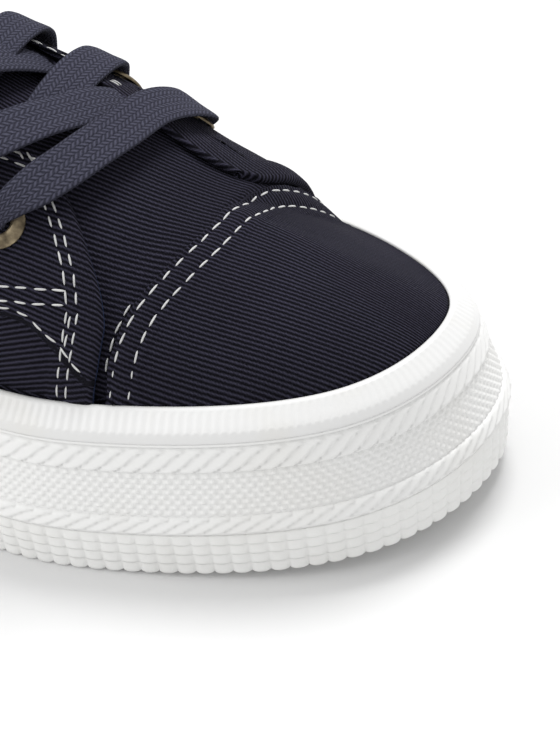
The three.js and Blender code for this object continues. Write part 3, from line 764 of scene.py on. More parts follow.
def foxing():
    share = perimeter(RIB_CYCLES, 6)
    inner = FEATHER_INSET - GAP
    top_outer = inner - STRIP_EDGE
    outer = SIDEWALL_INSET - 0.25
    bottom = SIDEWALL_HEIGHT + 0.1 * GAP
    rise = FEATHER_HEIGHT - bottom
    w = np.array([0, .04, .12, .22, .32, .36, .40, .44, .48, .56, .66, .76, .86, .93, .97, 1.0])
    knee = np.interp(w, [0, .4, 1], [outer, outer + 0.25 * (top_outer - outer), top_outer])
    knee[0] += 0.05
    phase = np.cos(2 * np.pi * share * RIB_CYCLES)
    ribs = 0.08 * phase * smooth_step((w - .42) / .1) * smooth_step((1 - w) / .08)
    dimple = 0.2 * np.maximum(-phase, 0) * np.exp(-(((w - .41) / .05) ** 2))
    inset = np.concatenate([
        levels(share, inner, outer + 1.0), levels(share, *knee) - ribs + dimple,
        levels(share, top_outer + 0.5, inner - 0.1, inner),
    ], 1)
    height = np.concatenate([
        levels(share, bottom, bottom), levels(share, *(bottom + w * (rise - 0.2))),
        levels(share, FEATHER_HEIGHT, FEATHER_HEIGHT, FEATHER_HEIGHT - 0.4),
    ], 1)
    return around("foxing_band", RIB_CYCLES, 6, inset, height, strip_rubber)


def footbed():
    """Insole: a thin cushion, a little dished, higher at the rim of the heel."""
    columns, rows = 160, 60
    low = FOOTBED_HEIGHT + GAP
    x, y, t, width = plan_grid(LAST_INSET + CANVAS_WALL + GAP, columns, rows)
    edge = np.minimum(1, 4 * t * (1 - t) * width / 14)
    crown = INSOLE_THICKNESS - 1.0 * smooth_step(edge) + 0.25 * np.sin(x / 23) * np.cos(y / 15)
    top = low + crown * np.minimum(1, 0.25 + edge * 3) + spring(x)
    upper = np.stack([x, y, top], -1)
    lower = np.stack([x, y, low + spring(x)], -1)
    count = columns * rows
    rim = []
    for j in (0, rows - 1):
        a = np.arange(columns - 1) * rows + j
        quad = np.stack([a, a + rows, a + rows + count, a + count], 1)
        rim.append(quad[:, ::-1] if j == 0 else quad)
    faces = np.concatenate([
        grid_faces(columns, rows), grid_faces(columns, rows, flip=True, start=count), *rim,
    ])
    points = np.concatenate([upper.reshape(-1, 3), lower.reshape(-1, 3)])
    return make_mesh("footbed", points, faces, footbed_cloth, weld=True)


# Upper

# Centre of the round front end of the throat's slot, and where the slot ends at the back
SLOT_CENTRE = THROAT_FRONT * HALF_LENGTH - THROAT_HALF
SLOT_BACK = 2 * THROAT_TOP * HALF_LENGTH


def signed_across(p):
    return (p[..., 1] - ridge_y(p[..., 0])) / HALF_WIDTH


def collar_height(x):
    return FEATHER_HEIGHT + read(COLLAR, x / HALF_LENGTH) * COLLAR_RISE


def outside_slot(p):
    """True for points clear of the throat's slot and below the collar."""
    x, off = p[..., 0], np.abs(signed_across(p)) * HALF_WIDTH
    widening = np.clip((SLOT_CENTRE - x) / (SLOT_CENTRE - SLOT_BACK), 0, 1)
    arc = np.hypot(np.maximum(x - SLOT_CENTRE, 0), off) > THROAT_HALF
    beside = (off > THROAT_HALF + THROAT_FLARE * widening) | (x < SLOT_BACK)
    clear = np.where(x > SLOT_CENTRE, arc, beside)
    high = (x < THROAT_TOP * HALF_LENGTH) & (p[..., 2] > collar_height(x))
    return clear & ~high


def outside_quarter(side):
    """As outside_slot, but along the quarter's straighter throat edge."""
    front, top = THROAT_FRONT * HALF_LENGTH, THROAT_TOP * HALF_LENGTH
    first = (THROAT_HALF if side < 0 else INNER_THROAT[0][1] * HALF_WIDTH)
    last = THROAT_HALF + THROAT_FLARE

    def keeps(p):
        x, off = p[..., 0], np.abs(signed_across(p)) * HALF_WIDTH
        half = first + (last - first) * np.clip((front - x) / (front - top), 0, 1)
        if side > 0:
            half = np.where(x > front, read(INNER_THROAT, x / HALF_LENGTH) * HALF_WIDTH, half)
            ahead = np.maximum(x - front + THROAT_HALF, 0)
            arc = np.sqrt(np.maximum(THROAT_HALF**2 - ahead**2, 0))
            half = np.maximum(half, arc * (x < front))
        return np.where(x > top, off > half, p[..., 2] < collar_height(x))

    return keeps


def top_of(side, grow, keeps, count=900, window=11):
    """Upper edge of a side, evened out: places along it and its rise."""
    s = np.linspace(0, 0.5, count)
    rise = np.pad(highest(side_share(side, s), grow, keeps), window // 2, mode="edge")
    return s, np.convolve(rise, np.full(window, 1 / window), "valid")


def roll(p, weave, edge, axis, end, depth, steps, tint):
    """Folds an edge of a grid down over its own thickness."""
    take = lambda a, k: np.take(a, [k], axis=axis)
    k0, k1 = (-1, -2) if end else (0, 1)
    normal = grid_normals(p)
    line, inner, up = take(p, k0), take(p, k1), take(normal, k0)
    outward = unit(line - inner)
    strip, flat, mark = [], [], []
    piped = steps - 3
    for k in range(1, steps + 1):
        turn = math.pi * k / steps
        strip.append(line + depth / 2 * (outward * math.sin(turn) - up * (1 - math.cos(turn))))
        flat.append(take(weave, k0) + np.array([0.0, 0.3 * k]) * (np.asarray(depth) > 0))
        mark.append(np.maximum(take(edge, k0), tint * (k >= piped)))
    if not end:
        strip, flat, mark = strip[::-1], flat[::-1], mark[::-1]
    join = lambda a, extra: np.concatenate([a, *extra] if end else [*extra, a], axis)
    return join(p, strip), join(weave, flat), join(edge, mark)


def turned(x, girth, turn):
    """Cloth coordinates of one piece, its ribs turned by an angle in degrees."""
    c, s = np.cos(np.radians(turn)), np.sin(np.radians(turn))
    return np.stack([x * c - girth * s, x * s + girth * c], -1)


def calm_at_fan(p):
    """0 where the columns of the toe meet, 1 well away from there."""
    fan = np.array([TOE_FAN * HALF_LENGTH, float(ridge_y(TOE_FAN * HALF_LENGTH))])
    return smooth_step((np.hypot(*(p[..., :2] - fan).transpose(2, 0, 1)) - 3) / 9)


def skirt(p, weave, edge, share, grow):
    """Runs the cloth's lower edge down inside the foxing strip."""
    low = ring_points(share[:, :1], LAST_INSET - grow, FOOTBED_HEIGHT + GAP)
    down = weave[:, :1] + np.array([0.0, 9.0])
    return [np.concatenate(pair, 1) for pair in ((low, p), (down, weave), (edge[:, :1], edge))]


def cut_piece(name, node, p, weave, share, grow, rolls, closed=False, weld=True):
    """Cloth with its foot in the strip; rolls give each edge's axis, end, depth, steps, tint."""
    edge = np.zeros(p.shape[:2])
    for axis, end, depth, steps, tint in rolls:
        p, weave, edge = roll(p, weave, edge, axis, end, depth, steps, tint)
        if axis == 0:
            share = np.pad(share, ((0, steps) if end else (steps, 0), (0, 0)), mode="edge")
    p, weave, edge = skirt(p, weave, edge, share, grow)
    faces = grid_faces(*p.shape[:2], closed=closed)
    return settle(make_mesh(name, p, faces, navy_twill, weave, edge, weld), (node,))


def run_from(p, axis, end):
    """Distance of each grid point from an edge, along the grid lines."""
    steps = np.linalg.norm(np.diff(p, axis=axis), axis=-1)
    if end:
        steps = np.flip(steps, axis)
    total = np.concatenate([np.zeros_like(np.take(steps, [0], axis)), np.cumsum(steps, axis)], axis)
    return np.flip(total, axis) if end else total


def hem(distance, rows, height, width):
    """Swell of a folded edge with a furrow under each row of stitches."""
    swell = height * np.clip(1 - (distance / width) ** 2, 0, 1) ** 0.5
    for row in rows:
        swell = swell - 0.28 * np.exp(-(((distance - row) / 0.7) ** 2))
    return swell


def row_along(p, distance, at, axis):
    """Line on a grid at a set distance from an edge."""
    normal = grid_normals(p)
    if axis == 1:
        p, normal, distance = p.swapaxes(0, 1), normal.swapaxes(0, 1), distance.T
    line, up = [], []
    for j, wanted in enumerate(at + np.zeros(p.shape[1])):
        order = np.argsort(distance[:, j])
        run = distance[order, j]
        line.append(sample(p[order, j], run, wanted))
        up.append(sample(normal[order, j], run, wanted))
    return np.array(line), unit(np.array(up))


stitch_rows = []
# Turn of the ribs on each piece, in degrees
VAMP_TURN, CAP_TURN, QUARTER_TURN, LOW_TURN = -20.0, -9.0, -13.0, -38.0
ROW_NEAR, ROW_FAR = 4.6, 7.4
EDGE_ROW, EDGE_ROW_FAR = 2.6, 5.4
CAP_ROWS = (0.9, 4.6)
# Thickness of the quarter's piped end
PIPED_WALL = 2.2
# Short row that locks the cap's seam, and the height over which the quarter's far row is doubled
BACKTACK = [
    (72.3, -23.6), (71.5, -26.4), (70.6, -29.0), (70.3, -30.9), (69.7, -32.7), (69.5, -33.9),
]
DOUBLED = (44.5, 51.5)


def panel_step(x, height):
    """Lies back below the edge of the quarter's upper panel, with a hem above it."""
    line = read(PANEL_EDGE, x / HALF_LENGTH) * INSTEP_RISE
    below = smooth_step((line - height) / 0.9)
    above = (height - line) / 5.0
    swell = 0.35 * np.clip(1 - above**2, 0, 1) * (above > 0)
    return swell * (1 - below) - 0.85 * below, below


def quarter(side):
    columns, rows, grow = 250, 84, OUTER_GROW
    rises = np.linspace(0, 1, 400)
    share = lambda s: side_share(side, s)
    front_line = OUTER_FRONT if side < 0 else INNER_FRONT

    def beside_strip(s):
        off = np.abs(last_point(share(s), rises, grow)[..., 1] - ridge_y(-HALF_LENGTH))
        return off > HEEL_STRIP_HALF + GAP

    def behind_front(s):
        p = last_point(share(s), rises, grow)
        return p[..., 0] / HALF_LENGTH < read(front_line, np.abs(signed_across(p)))

    back = bisect(np.full(400, .25), np.zeros(400), beside_strip)
    front = bisect(np.full(400, .2), np.full(400, .5), behind_front)
    top_s, top_rise = top_of(side, grow, outside_quarter(side))
    c = (1 - (1 - np.linspace(0, 1, columns)) ** 1.35)[:, None]
    t = (1 - (1 - np.linspace(0, 1, rows)) ** 1.2)[None, :]
    s = back[0] + (front[0] - back[0]) * c + 0 * t
    for _ in range(12):
        rise = t * np.interp(s, top_s, top_rise)
        aim = np.interp(rise, rises, back) * (1 - c) + np.interp(rise, rises, front) * c
        s = 0.5 * s + 0.5 * aim
    p = last_point(share(s), rise, grow)
    girth = girth_at(share(s), p[..., 0], rise)
    height = p[..., 2] - FEATHER_HEIGHT
    from_front, from_top = run_from(p, 0, True), run_from(p, 1, True)
    step, below = panel_step(p[..., 0], height)
    low = below[..., None]
    weave = (1.1 * turned(p[..., 0], girth, -side * QUARTER_TURN) * (1 - low)
             + 1.22 * turned(p[..., 0], girth, -side * LOW_TURN) * low)
    furrows = ((ROW_NEAR, ROW_FAR), (EDGE_ROW, EDGE_ROW_FAR)) if side < 0 else ((), ())
    swell = np.maximum(hem(from_front, furrows[0], 0.9, 6.5), hem(from_top, furrows[1], 0.5, 6.0))
    swell = np.maximum(swell, 0) + step * smooth_step((from_front - 7) / 3)
    corner = smooth_step((np.linalg.norm(p - p[-1, -1], axis=-1) - 2) / 14) if side > 0 else 1.0
    normal = grid_normals(p)
    if (normal[columns // 2, rows // 2, 1] > 0) != (side > 0):
        normal = -normal
    p = p + normal * ((relief(p[..., 0], girth) + swell) * corner)[..., None]
    if side > 0:
        p, weave, s, height, from_front, from_top = [
            grid[::-1] for grid in (p, weave, s, height, from_front, from_top)]
    row_top, row_front = (80, 90) if side < 0 else (49, 50)
    in_height, in_length = (0, row_top), (-HALF_LENGTH, row_front)
    for at, axis, k, (start, stop) in (
            (ROW_NEAR, 0, 2, in_height), (ROW_FAR - 0.8 * (1 - t[0]), 0, 2, in_height),
            ((ROW_NEAR + ROW_FAR) / 2, 0, 2, DOUBLED),
            (EDGE_ROW, 1, 0, in_length), (EDGE_ROW_FAR, 1, 0, in_length)):
        line, up = row_along(p, from_top if axis else from_front, at, axis)
        inside = (line[:, k] > start) & (line[:, k] < stop)
        stitch_rows.append((line[inside], up[inside]))
    for table in (UPPER_ROW, LOWER_ROW, EDGE_OF_PANEL):
        stitch_rows.append(row_by_height(p, height, table))
    fore, name = side < 0, "outer" if side < 0 else "inner"
    rolls = ((0, fore, PIPED_WALL, 6, float(fore)), (0, not fore, OVERLAY_WALL, 5, 0),
             (1, True, OVERLAY_WALL, 5, 0))
    return cut_piece(f"quarter_panel_{name}", f"quarter_{name}", p, weave, share(s), grow - 0.4,
                     rolls, weld=False)


# Rows of the quarter: along, height over the foxing (share of the instep's)
UPPER_ROW = [(-.7, .25), (-.3, .262), (.2, .292), (.37, .298), (.42, .292), (.478, .282)]
LOWER_ROW = [(-.7, .215), (-.3, .226), (.2, .256), (.37, .262), (.42, .257), (.478, .252)]
EDGE_OF_PANEL = [(a, b + .012) for a, b in PANEL_EDGE]


def row_by_height(p, height, table):
    """Line on a panel's grid whose height follows a table along the shoe."""
    normal, place = grid_normals(p), p[..., 0] / HALF_LENGTH
    line, up = [], []
    for i in range(p.shape[0]):
        excess = height[i] - read(table, place[i]) * INSTEP_RISE
        hits = np.nonzero((excess[:-1] < 0) & (excess[1:] >= 0))[0]
        if len(hits) and table[0][0] <= place[i, p.shape[1] // 3] <= table[-1][0]:
            j = hits[0]
            t = -excess[j] / (excess[j + 1] - excess[j])
            line.append(p[i, j] * (1 - t) + p[i, j + 1] * t)
            up.append(normal[i, j])
    return np.array(line), unit(np.array(up))


def toe_cap():
    columns, rows, grow = 320, 70, OUTER_GROW
    keeps = lambda p: p[..., 0] / HALF_LENGTH > read(CAP_REAR, signed_across(p))
    ends = []
    for side in (-1, 1):
        first = bisect(np.array(.5), np.array(.25),
                       lambda s: keeps(last_point(side_share(side, s), 0.0, grow)))
        ends.append(float(side_share(side, first)))
    share = np.linspace(ends[0], ends[1], columns)
    rise = highest(share, grow, keeps)
    rear = rise < 0.998
    t = 1 - (1 - np.linspace(0, 1, rows)[None, :]) ** 1.4
    share, rise = share[:, None] + 0 * t, rise[:, None] * t
    p = last_point(share, rise, grow)
    girth = toe_girth(p, grow)
    weave = turned(p[..., 0], girth, CAP_TURN)
    from_rear = edge_distance(p, p[rear, -1])
    normal = grid_normals(p)
    if normal[columns // 2, rows // 2, 2] < 0:
        normal = -normal
    swell = np.maximum(hem(from_rear, CAP_ROWS, 0.45, 6.5), 0)
    p = p + normal * (relief(p[..., 0], girth) * calm_at_fan(p) + swell)[..., None]
    for at in CAP_ROWS:
        stitch_rows.append(offset_row(p, normal, from_rear, at))
    rolls = ((1, True, OVERLAY_WALL * rear[:, None, None], 5, 0),)
    return cut_piece("toe_cap_panel", "toe_cap", p, weave, share, grow - 0.3, rolls)


def edge_distance(p, line):
    """Shortest distance from each grid point to a line of points."""
    flat = p.reshape(-1, 3)
    best = np.full(len(flat), 1e9)
    for a, b in zip(line[:-1], line[1:]):
        along = b - a
        t = np.clip((flat - a) @ along / max(along @ along, 1e-9), 0, 1)
        best = np.minimum(best, np.linalg.norm(flat - a - t[:, None] * along, axis=1))
    return best.reshape(p.shape[:2])


def offset_row(p, normal, distance, at):
    """Line on a grid at a true distance from its rear edge, from one foot to the other."""
    found = []
    for i in range(p.shape[0]):
        hits = np.nonzero((distance[i, :-1] > at) & (distance[i, 1:] <= at))[0]
        if len(hits):
            found.append(((i, hits[-1]), (i, hits[-1] + 1)))
    feet = ([], [])
    ends = ((found[0][0], -1, 0), (found[-1][0], 1, p.shape[0] - 1))
    for foot, ((i_end, j_end), step, stop) in zip(feet, ends):
        for j in range(j_end):
            for i in range(i_end, stop, step):
                if distance[i, j] > at >= distance[i + step, j]:
                    foot.append(((i, j), (i + step, j)))
                    break
    line, up = [], []
    for far, near in feet[0] + found + feet[1][::-1]:
        t = (distance[far] - at) / (distance[far] - distance[near])
        line.append(p[far] * (1 - t) + p[near] * t)
        up.append(normal[far])
    return np.array(line), unit(np.array(up))


def heel_strip():
    columns, rows, grow = 40, 70, OUTER_GROW
    half = float(bisect(np.array(0.0), np.array(.1), lambda s: (
        np.abs(last_point(s, 0.2, grow)[..., 1] - ridge_y(-HALF_LENGTH)) < HEEL_STRIP_HALF)))
    share = np.linspace(-half, half, columns)
    rise = highest(share, grow, lambda p: p[..., 2] < collar_height(p[..., 0]))
    t = np.linspace(0, 1, rows)[None, :]
    share, rise = share[:, None] + 0 * t, rise[:, None] * t
    p = last_point(share, rise, grow)
    weave = np.stack([p[..., 2], p[..., 1]], -1)
    normal = grid_normals(p)
    if normal[columns // 2, rows // 2, 0] > 0:
        normal = -normal
    sides = np.minimum(run_from(p, 0, True), run_from(p, 0, False))
    p = p + normal * np.maximum(hem(sides, (2.2,), 0.35, 4.0), 0)[..., None]
    for i in (4, columns - 5):
        stitch_rows.append((p[i], normal[i]))
    rolls = [(axis, end, OVERLAY_WALL, 5, 0) for axis, end in ((0, True), (0, False), (1, True))]
    return cut_piece("heel_strip_panel", "heel_strip", p, weave, share, grow - 0.3, rolls,
                     weld=False)


def upper_shell():
    """Vamp and the layer under the quarters, with its lining."""
    half_columns, rows = 300, 60
    t = np.linspace(0, 1, rows)[None, :]
    s = np.linspace(0, 0.5, half_columns)
    share = np.concatenate([s, (1 - s)[-2:0:-1]])
    rise = highest(share, 0, outside_slot)
    share, rise = share[:, None] + 0 * t, rise[:, None] * t
    p = last_point(share, rise, 0.0)
    normal = grid_normals(np.concatenate([p[-1:], p, p[:1]]))[1:-1]
    normal[:, -2:] = normal[:, -3:-2]
    near_cap = smooth_step((p[..., 0] - 68) / 8) * smooth_step((t - 0.6) / 0.3)
    girth = girth_at(share, p[..., 0], rise) * (1 - near_cap) + toe_girth(p, 0.0, 0.8) * near_cap
    weave = turned(p[..., 0], girth, VAMP_TURN)
    cloth = p + normal * (relief(p[..., 0], girth) * calm_at_fan(p))[..., None]
    rolls = ((1, True, CANVAS_WALL * (rise[:, -1] < 0.995)[:, None, None], 5, 0),)
    cut_piece("vamp_canvas", "upper", cloth, weave, share, 0.0, rolls, closed=True)
    inner = last_point(share, rise, -CANVAS_WALL)
    low = ring_points(share[:, :1], LAST_INSET + CANVAS_WALL, FOOTBED_HEIGHT + GAP)
    inner = np.concatenate([low, inner], 1)
    faces = grid_faces(*inner.shape[:2], closed=True, flip=True)
    settle(make_mesh("upper_lining", inner, faces, lining_cloth, weld=True), ())


def tongue():
    columns, rows = 70, 44
    half = THROAT_HALF + TONGUE_UNDERLAP
    a = np.linspace(0, 1, columns)[:, None]
    b = np.linspace(-1, 1, rows)[None, :]
    x = (TONGUE_TOP + (TONGUE_FRONT - TONGUE_TOP) * a) * HALF_LENGTH + 0 * b
    reach = (half + THROAT_FLARE) * (1 - a) + (half - 2 * THROAT_FLARE) * a
    y = ridge_y(0.0) + reach * b
    share, rise, p, normal = [
        grid.reshape(columns, rows, *grid.shape[1:])
        for grid in surface_at(x.ravel(), y.ravel(), -CANVAS_WALL - GAP)]
    weave = np.stack([p[..., 0], girth_at(share, p[..., 0], rise)], -1)
    waves = 0.3 * np.sin(p[..., 0] / 7.0) * np.cos(p[..., 1] / 9.0) * (x < 45)
    p = p - normal * waves[..., None]
    flip = grid_normals(p)[columns // 2, rows // 2, 2] < 0
    faces, under = grid_faces(columns, rows, flip=not flip), p - normal * TONGUE_WALL
    if flip:
        p, weave = p[::-1], weave[::-1]
    edge = np.zeros(p.shape[:2])
    for axis, end in ((0, True), (0, False), (1, True), (1, False)):
        p, weave, edge = roll(p, weave, edge, axis, end, TONGUE_WALL, 4, 0)
    upper = make_mesh("tongue_canvas", p, grid_faces(*p.shape[:2]), navy_twill, weave, edge)
    settle(upper, ("tongue",))
    settle(make_mesh("tongue_lining", under, faces, lining_cloth), ())


# Stitches

def stitches(name, rows, pitch=3.8, length=2.7, radius=0.22):
    rings, sides = 7, 8
    t = np.linspace(-1, 1, rings)
    swell = np.sqrt(np.clip(1 - np.abs(t) ** 3.2, 0.02, 1))
    turn = np.arange(sides) / sides * 2 * np.pi
    bow = np.repeat(0.16 * (1 - t**2) - 0.06, sides)
    template = np.stack([
        np.repeat(t * length / 2, sides), np.outer(swell, np.cos(turn)).ravel() * radius,
        np.outer(swell, np.sin(turn)).ravel() * radius * 0.75 + bow,
    ], -1)
    ring = np.arange(rings - 1)[:, None] * sides + (sides - 1)
    wrap = np.concatenate([ring, ring + sides, ring + 1, ring - sides + 1], 1)
    cell = np.concatenate([grid_faces(rings, sides), wrap])
    points = []
    for line, up in rows:
        if len(line) < 3:
            continue
        run = run_length(line)
        count = int(run[-1] / pitch)
        at = (np.arange(count) + 0.5) * pitch + random.uniform(-0.2, 0.2, count)
        middle, normal = sample(line, run, at), unit(sample(up, run, at))
        along = unit(sample(line, run, at + 1) - sample(line, run, at - 1))
        across = unit(np.cross(normal, along))
        along = unit(along + across * random.normal(0, 0.05, (count, 1)))
        lift = np.cross(along, across)
        for k in range(count):
            stretch = random.uniform(0.88, 1.1)
            points.append(middle[k] + template[:, :1] * along[k] * stretch
                          + template[:, 1:2] * across[k] + template[:, 2:] * lift[k])
    faces = cell[None] + len(template) * np.arange(len(points))[:, None, None]
    return settle(make_mesh(name, np.concatenate(points), faces.reshape(-1, 4), thread))


# Lacing

def beside_throat(x, side, distance):
    back = (THROAT_FRONT - x / HALF_LENGTH) / (THROAT_FRONT - THROAT_TOP)
    half = THROAT_HALF + THROAT_FLARE * max(back, 0)
    share, rise, point, _ = surface_at(x, float(ridge_y(x)) + side * half, OUTER_GROW)
    share, rise, point = float(share[0]), float(rise[0]), point[0]
    travelled = 0.0
    while travelled < distance and rise > 0.01:
        rise -= 0.005
        reached = last_point(share, rise, OUTER_GROW)
        travelled += np.linalg.norm(reached - point)
        point = reached
    _, _, point, normal = face_at(np.array(share), np.array(rise), OUTER_GROW)
    return point, normal


eyelets = {
    (row, side): beside_throat(FIRST_EYELET[side] - row * EYELET_PITCH[side], side, EYELET_SETBACK)
    for row in range(EYELET_ROWS) for side in (-1, 1)}

LACE_SIDES, EYELET_SIDES = 16, 48
# Turned section of an eyelet: radius, height
EYELET_PROFILE = np.array([(EYELET_BORE + out, height) for out, height in (
    (.15, -2.2), (.05, -1.0), (0, .1), (.1, .55), (.45, .85), (.9, .95), (1.5, .9), (2.1, .72),
)] + [(EYELET_RADIUS - back, height) for back, height in (
    (.45, .5), (.15, .3), (0, .08), (.1, -.25),
)])


def eyelet(row, side):
    point, normal = eyelets[row, side]
    along = unit(np.cross(normal, [0.0, 1.0, 0.0]))
    across = np.cross(normal, along)
    turn = (np.arange(EYELET_SIDES) / EYELET_SIDES * 2 * np.pi)[:, None, None]
    radius, height = EYELET_PROFILE.T[:, None, :, None]
    p = (point + radius * np.cos(turn) * along + radius * np.sin(turn) * across
         + (height + 0.15) * normal)
    name = f"{'outer' if side < 0 else 'inner'}_{row + 1}"
    faces = grid_faces(*p.shape[:2], closed=True, flip=True)
    thing = make_mesh(f"brass_eyelet_{name}", p, faces, brass)
    return settle(thing, (f"eyelet_{name}",))


def ease(stations, count):
    """Smooth curve through rows of numbers."""
    stations = np.array(stations, float)
    padded = np.vstack([2 * stations[0] - stations[1], stations, 2 * stations[-1] - stations[-2]])
    at = np.linspace(0, len(stations) - 1.0001, count)
    i = at.astype(int)
    t = (at - i)[:, None]
    a, b, c, d = padded[i], padded[i + 1], padded[i + 2], padded[i + 3]
    square, cube = 2 * a - 5 * b + 4 * c - d, 3 * b - a - 3 * c + d
    return 0.5 * (2 * b + (c - a) * t + square * t**2 + cube * t**3)


def strand(start, end, stations, count):
    """Flat lace over the canvas: stations give share, height, width share and sideways shift."""
    share, height, narrow, shift = ease(stations, count).T
    plan = np.array(end[:2]) - np.array(start[:2])
    away = np.array([-plan[1], plan[0]]) / np.hypot(*plan)
    place = np.array(start[:2]) + plan * share[:, None] + away * shift[:, None]
    _, _, point, normal = surface_at(place[:, 0], place[:, 1], OUTER_GROW)
    centre = point + normal * height[:, None]
    tangent = unit(np.gradient(centre, axis=0))
    heading = np.array([plan[0], plan[1], 0.0]) / np.hypot(*plan)
    across = unit(np.cross(normal, heading + 0 * normal))
    lift = unit(np.cross(tangent, -across))
    across = unit(np.cross(tangent, lift)) * -1
    turn = np.arange(LACE_SIDES) / LACE_SIDES * 2 * np.pi
    wide = np.sign(np.cos(turn)) * np.abs(np.cos(turn)) ** 0.7
    tall = np.sign(np.sin(turn)) * np.abs(np.sin(turn)) ** 0.8
    width = LACE_WIDTH * narrow / 2
    thick = LACE_THICKNESS / 2 * (1 + 0.9 * (1 - np.clip(narrow, 0, 1)))
    droop = -0.5 * (wide[None, :] ** 2) * narrow[:, None]
    p = (centre[:, None] + across[:, None] * (width[:, None] * wide)[..., None]
         + lift[:, None] * (thick[:, None] * tall + droop)[..., None])
    run = run_length(centre)
    round_lace = (LACE_WIDTH / 2 * wide + 3.0 * (tall < 0))[None, :]
    weave = np.stack(np.broadcast_arrays(run[:, None], round_lace), -1)
    return np.concatenate([p, p[:, :1]], 1), np.concatenate([weave, weave[:, :1]], 1)


# Stations of the laces: share of the way, height, share of the width, sideways shift
OUT_OF_EYELET = [(0, -2.4, .42, 0), (0, -.6, .44, 0)]
BAR = OUT_OF_EYELET + [
    (.015, 1.3, .5, 0), (.07, 2.7, .72, -1.5), (.16, 3.1, .95, -3.6), (.3, 3.3, 1, -5.4),
    (.5, 3.3, 1, -5.6), (.7, 3.3, 1, -4.2), (.84, 3.1, 1, -4), (.93, 2.6, 1, -3.8),
    (.985, 1.6, .85, -2.2), (1, -.6, .44, 0), (1, -2.4, .42, 0),
]
CROSS_OVER = OUT_OF_EYELET + [
    (.02, 1.3, .5, 0), (.09, 2.7, .75, 0), (.2, 3.2, .95, 0), (.34, 3.1, 1, 0), (.5, 2.6, 1, 0),
    (.66, .8, .98, 0), (.8, -1.3, .95, 0), (.9, -2.7, .9, 0), (1, -3.4, .85, 0),
]
CROSS_UNDER = OUT_OF_EYELET + [
    (.02, 1.3, .5, 0), (.09, 2.6, .75, 0), (.2, 2.2, .95, 0), (.34, .7, 1, 0), (.5, -.5, 1, 0),
    (.66, -1.3, .98, 0), (.8, -2.3, .95, 0), (.9, -3, .9, 0), (1, -3.4, .85, 0),
]
# The foremost crossing runs on over the vamp and slips under the first bar
CROSS_LONG = OUT_OF_EYELET + [
    (.015, 1.3, .5, 0), (.06, 2.7, .75, -.5), (.14, 3.2, .95, -1.6), (.3, 3.1, 1, -3.4),
    (.46, 2.5, 1, -4), (.6, 1.5, 1, -3.8), (.72, 1.2, 1, -3.4), (.86, -.4, .95, -3),
    (1, -3.2, .9, -3),
]


def lace_piece(name, strands, node):
    points, faces = joined([p for p, _ in strands], flip=True)
    weave = np.concatenate([w.reshape(-1, 2) for _, w in strands])
    return settle(make_mesh(name, points, faces, lace_cotton, weave), (node,))


# Share of its way that the foremost crossing goes, and how far the others run under an edge
LONG_REACH, TUCK = 0.84, 2.5


def slot_half(x):
    if x > SLOT_CENTRE:
        return math.sqrt(max(THROAT_HALF**2 - (x - SLOT_CENTRE) ** 2, 0))
    return THROAT_HALF + THROAT_FLARE * (SLOT_CENTRE - x) / (SLOT_CENTRE - SLOT_BACK)


def hidden_reach(start, target, side):
    """Share of the way at which a strand has slipped under the other side's edge."""
    for reach in np.arange(0.4, 1, 0.01):
        x, y, _ = start + reach * (target - start)
        if -side * (y - float(ridge_y(x))) > slot_half(x) + TUCK:
            return reach
    return 1.0


def lacing():
    bar = strand(eyelets[0, -1][0], eyelets[0, 1][0], BAR, 110)
    lace_piece("lace_first_bar", [bar], "lace_bar")
    for row in range(1, EYELET_ROWS):
        strands = []
        for side, stations in ((-1, CROSS_LONG if row == 1 else CROSS_OVER), (1, CROSS_UNDER)):
            start, target = eyelets[row, side][0], eyelets[row - 1, -side][0]
            reach = LONG_REACH if stations is CROSS_LONG else hidden_reach(start, target, side)
            strands.append(strand(start, start + reach * (target - start), stations, 90))
        lace_piece(f"lace_crossing_{row}", strands, f"lace_cross_{row}")


# Build

for make, nodes, slot in (
        (tread_wall, ("outsole",), "outsole_rubber"), (tread_floor, (), "outsole_rubber"),
        (rope_bands, ("midsole",), "midsole_rubber"), (pip_band, (), "midsole_rubber"),
        (platform_cup, (), "midsole_rubber"), (foxing, ("foxing_strip",), "foxing_rubber")):
    settle(make(), nodes)
bed = settle(footbed(), ("insole",))
upper_shell()
tongue()
quarter(-1)
quarter(1)
toe_cap()
heel_strip()
for row in range(EYELET_ROWS):
    for side in (-1, 1):
        eyelet(row, side)
lacing()
tack = surface_at(*np.array(BACKTACK).T, 0.35)
stitch_rows.append((tack[2], tack[3]))
stitches("seam_stitches", stitch_rows)


# Floor, light and camera

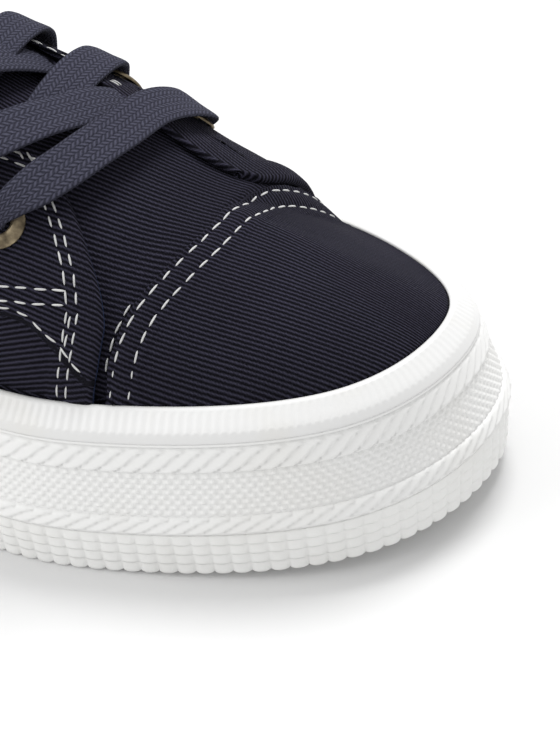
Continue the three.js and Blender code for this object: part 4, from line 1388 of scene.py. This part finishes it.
FLOOR_REACH = 4000
LIT_PLACE = Vector((0.05, 0, 0.03))
AZIMUTH, ELEVATION, ROLL = 31.5, 36, -7.5
VIEW_TARGET, VIEW_DISTANCE = Vector((0.088, 0.0017, 0.020)), 0.5
PHOTO_SCALE, PHOTO_HEIGHT = 4.87, 746


def stage():
    n = Nodes("pale floor")
    n.finish((.68, .68, .68, 1), 0.9)
    n.shader.inputs["Emission Color"].default_value = (1, 1, 1, 1)
    n.shader.inputs["Emission Strength"].default_value = 0.04
    x, y = np.array([-1, 1, 1, -1]) * FLOOR_REACH, np.array([-1, -1, 1, 1]) * FLOOR_REACH
    corners = np.stack([x, y, 0 * x], -1)
    make_mesh("floor", corners, np.array([[0, 1, 2, 3]]), n.material)


def lamp(name, position, size, power):
    light = bpy.data.lights.new(name, "AREA")
    light.shape = "DISK"
    light.size = size
    light.energy = power
    thing = link_object(name, light)
    thing.location = position
    thing.rotation_mode = "QUATERNION"
    thing.rotation_quaternion = (LIT_PLACE - Vector(position)).to_track_quat("-Z", "Y")


def lights():
    world = bpy.data.worlds.new("studio")
    bpy.context.scene.world = world
    world.use_nodes = True
    shade = world.node_tree.nodes["Background"]
    shade.inputs["Color"].default_value = (1, 1, 1, 1)
    shade.inputs["Strength"].default_value = 0.76
    lamp("key", (0.1, 0.5, 1.0), 0.5, 9.0)
    lamp("fill", (-0.7, -0.6, 0.7), 0.9, 4.8)


def camera():
    """Looks at the toe from outside and above; the photo's scale is in pixels to the millimetre."""
    data = bpy.data.cameras.new("camera")
    data.lens = PHOTO_SCALE * VIEW_DISTANCE / MM / PHOTO_HEIGHT * data.sensor_width
    data.clip_start, data.clip_end = 0.01, 20
    thing = link_object("camera", data)
    place = Matrix.Translation(VIEW_TARGET)
    for angle, axis in ((AZIMUTH, "Z"), (90 - ELEVATION, "X"), (ROLL, "Z")):
        place = place @ Matrix.Rotation(math.radians(angle), 4, axis)
    thing.matrix_world = place @ Matrix.Translation((0, 0, VIEW_DISTANCE))
    bpy.context.scene.camera = thing


stage()
lights()
camera()
scene = bpy.context.scene
scene.view_settings.view_transform = "Standard"
scene.view_settings.look = "None"
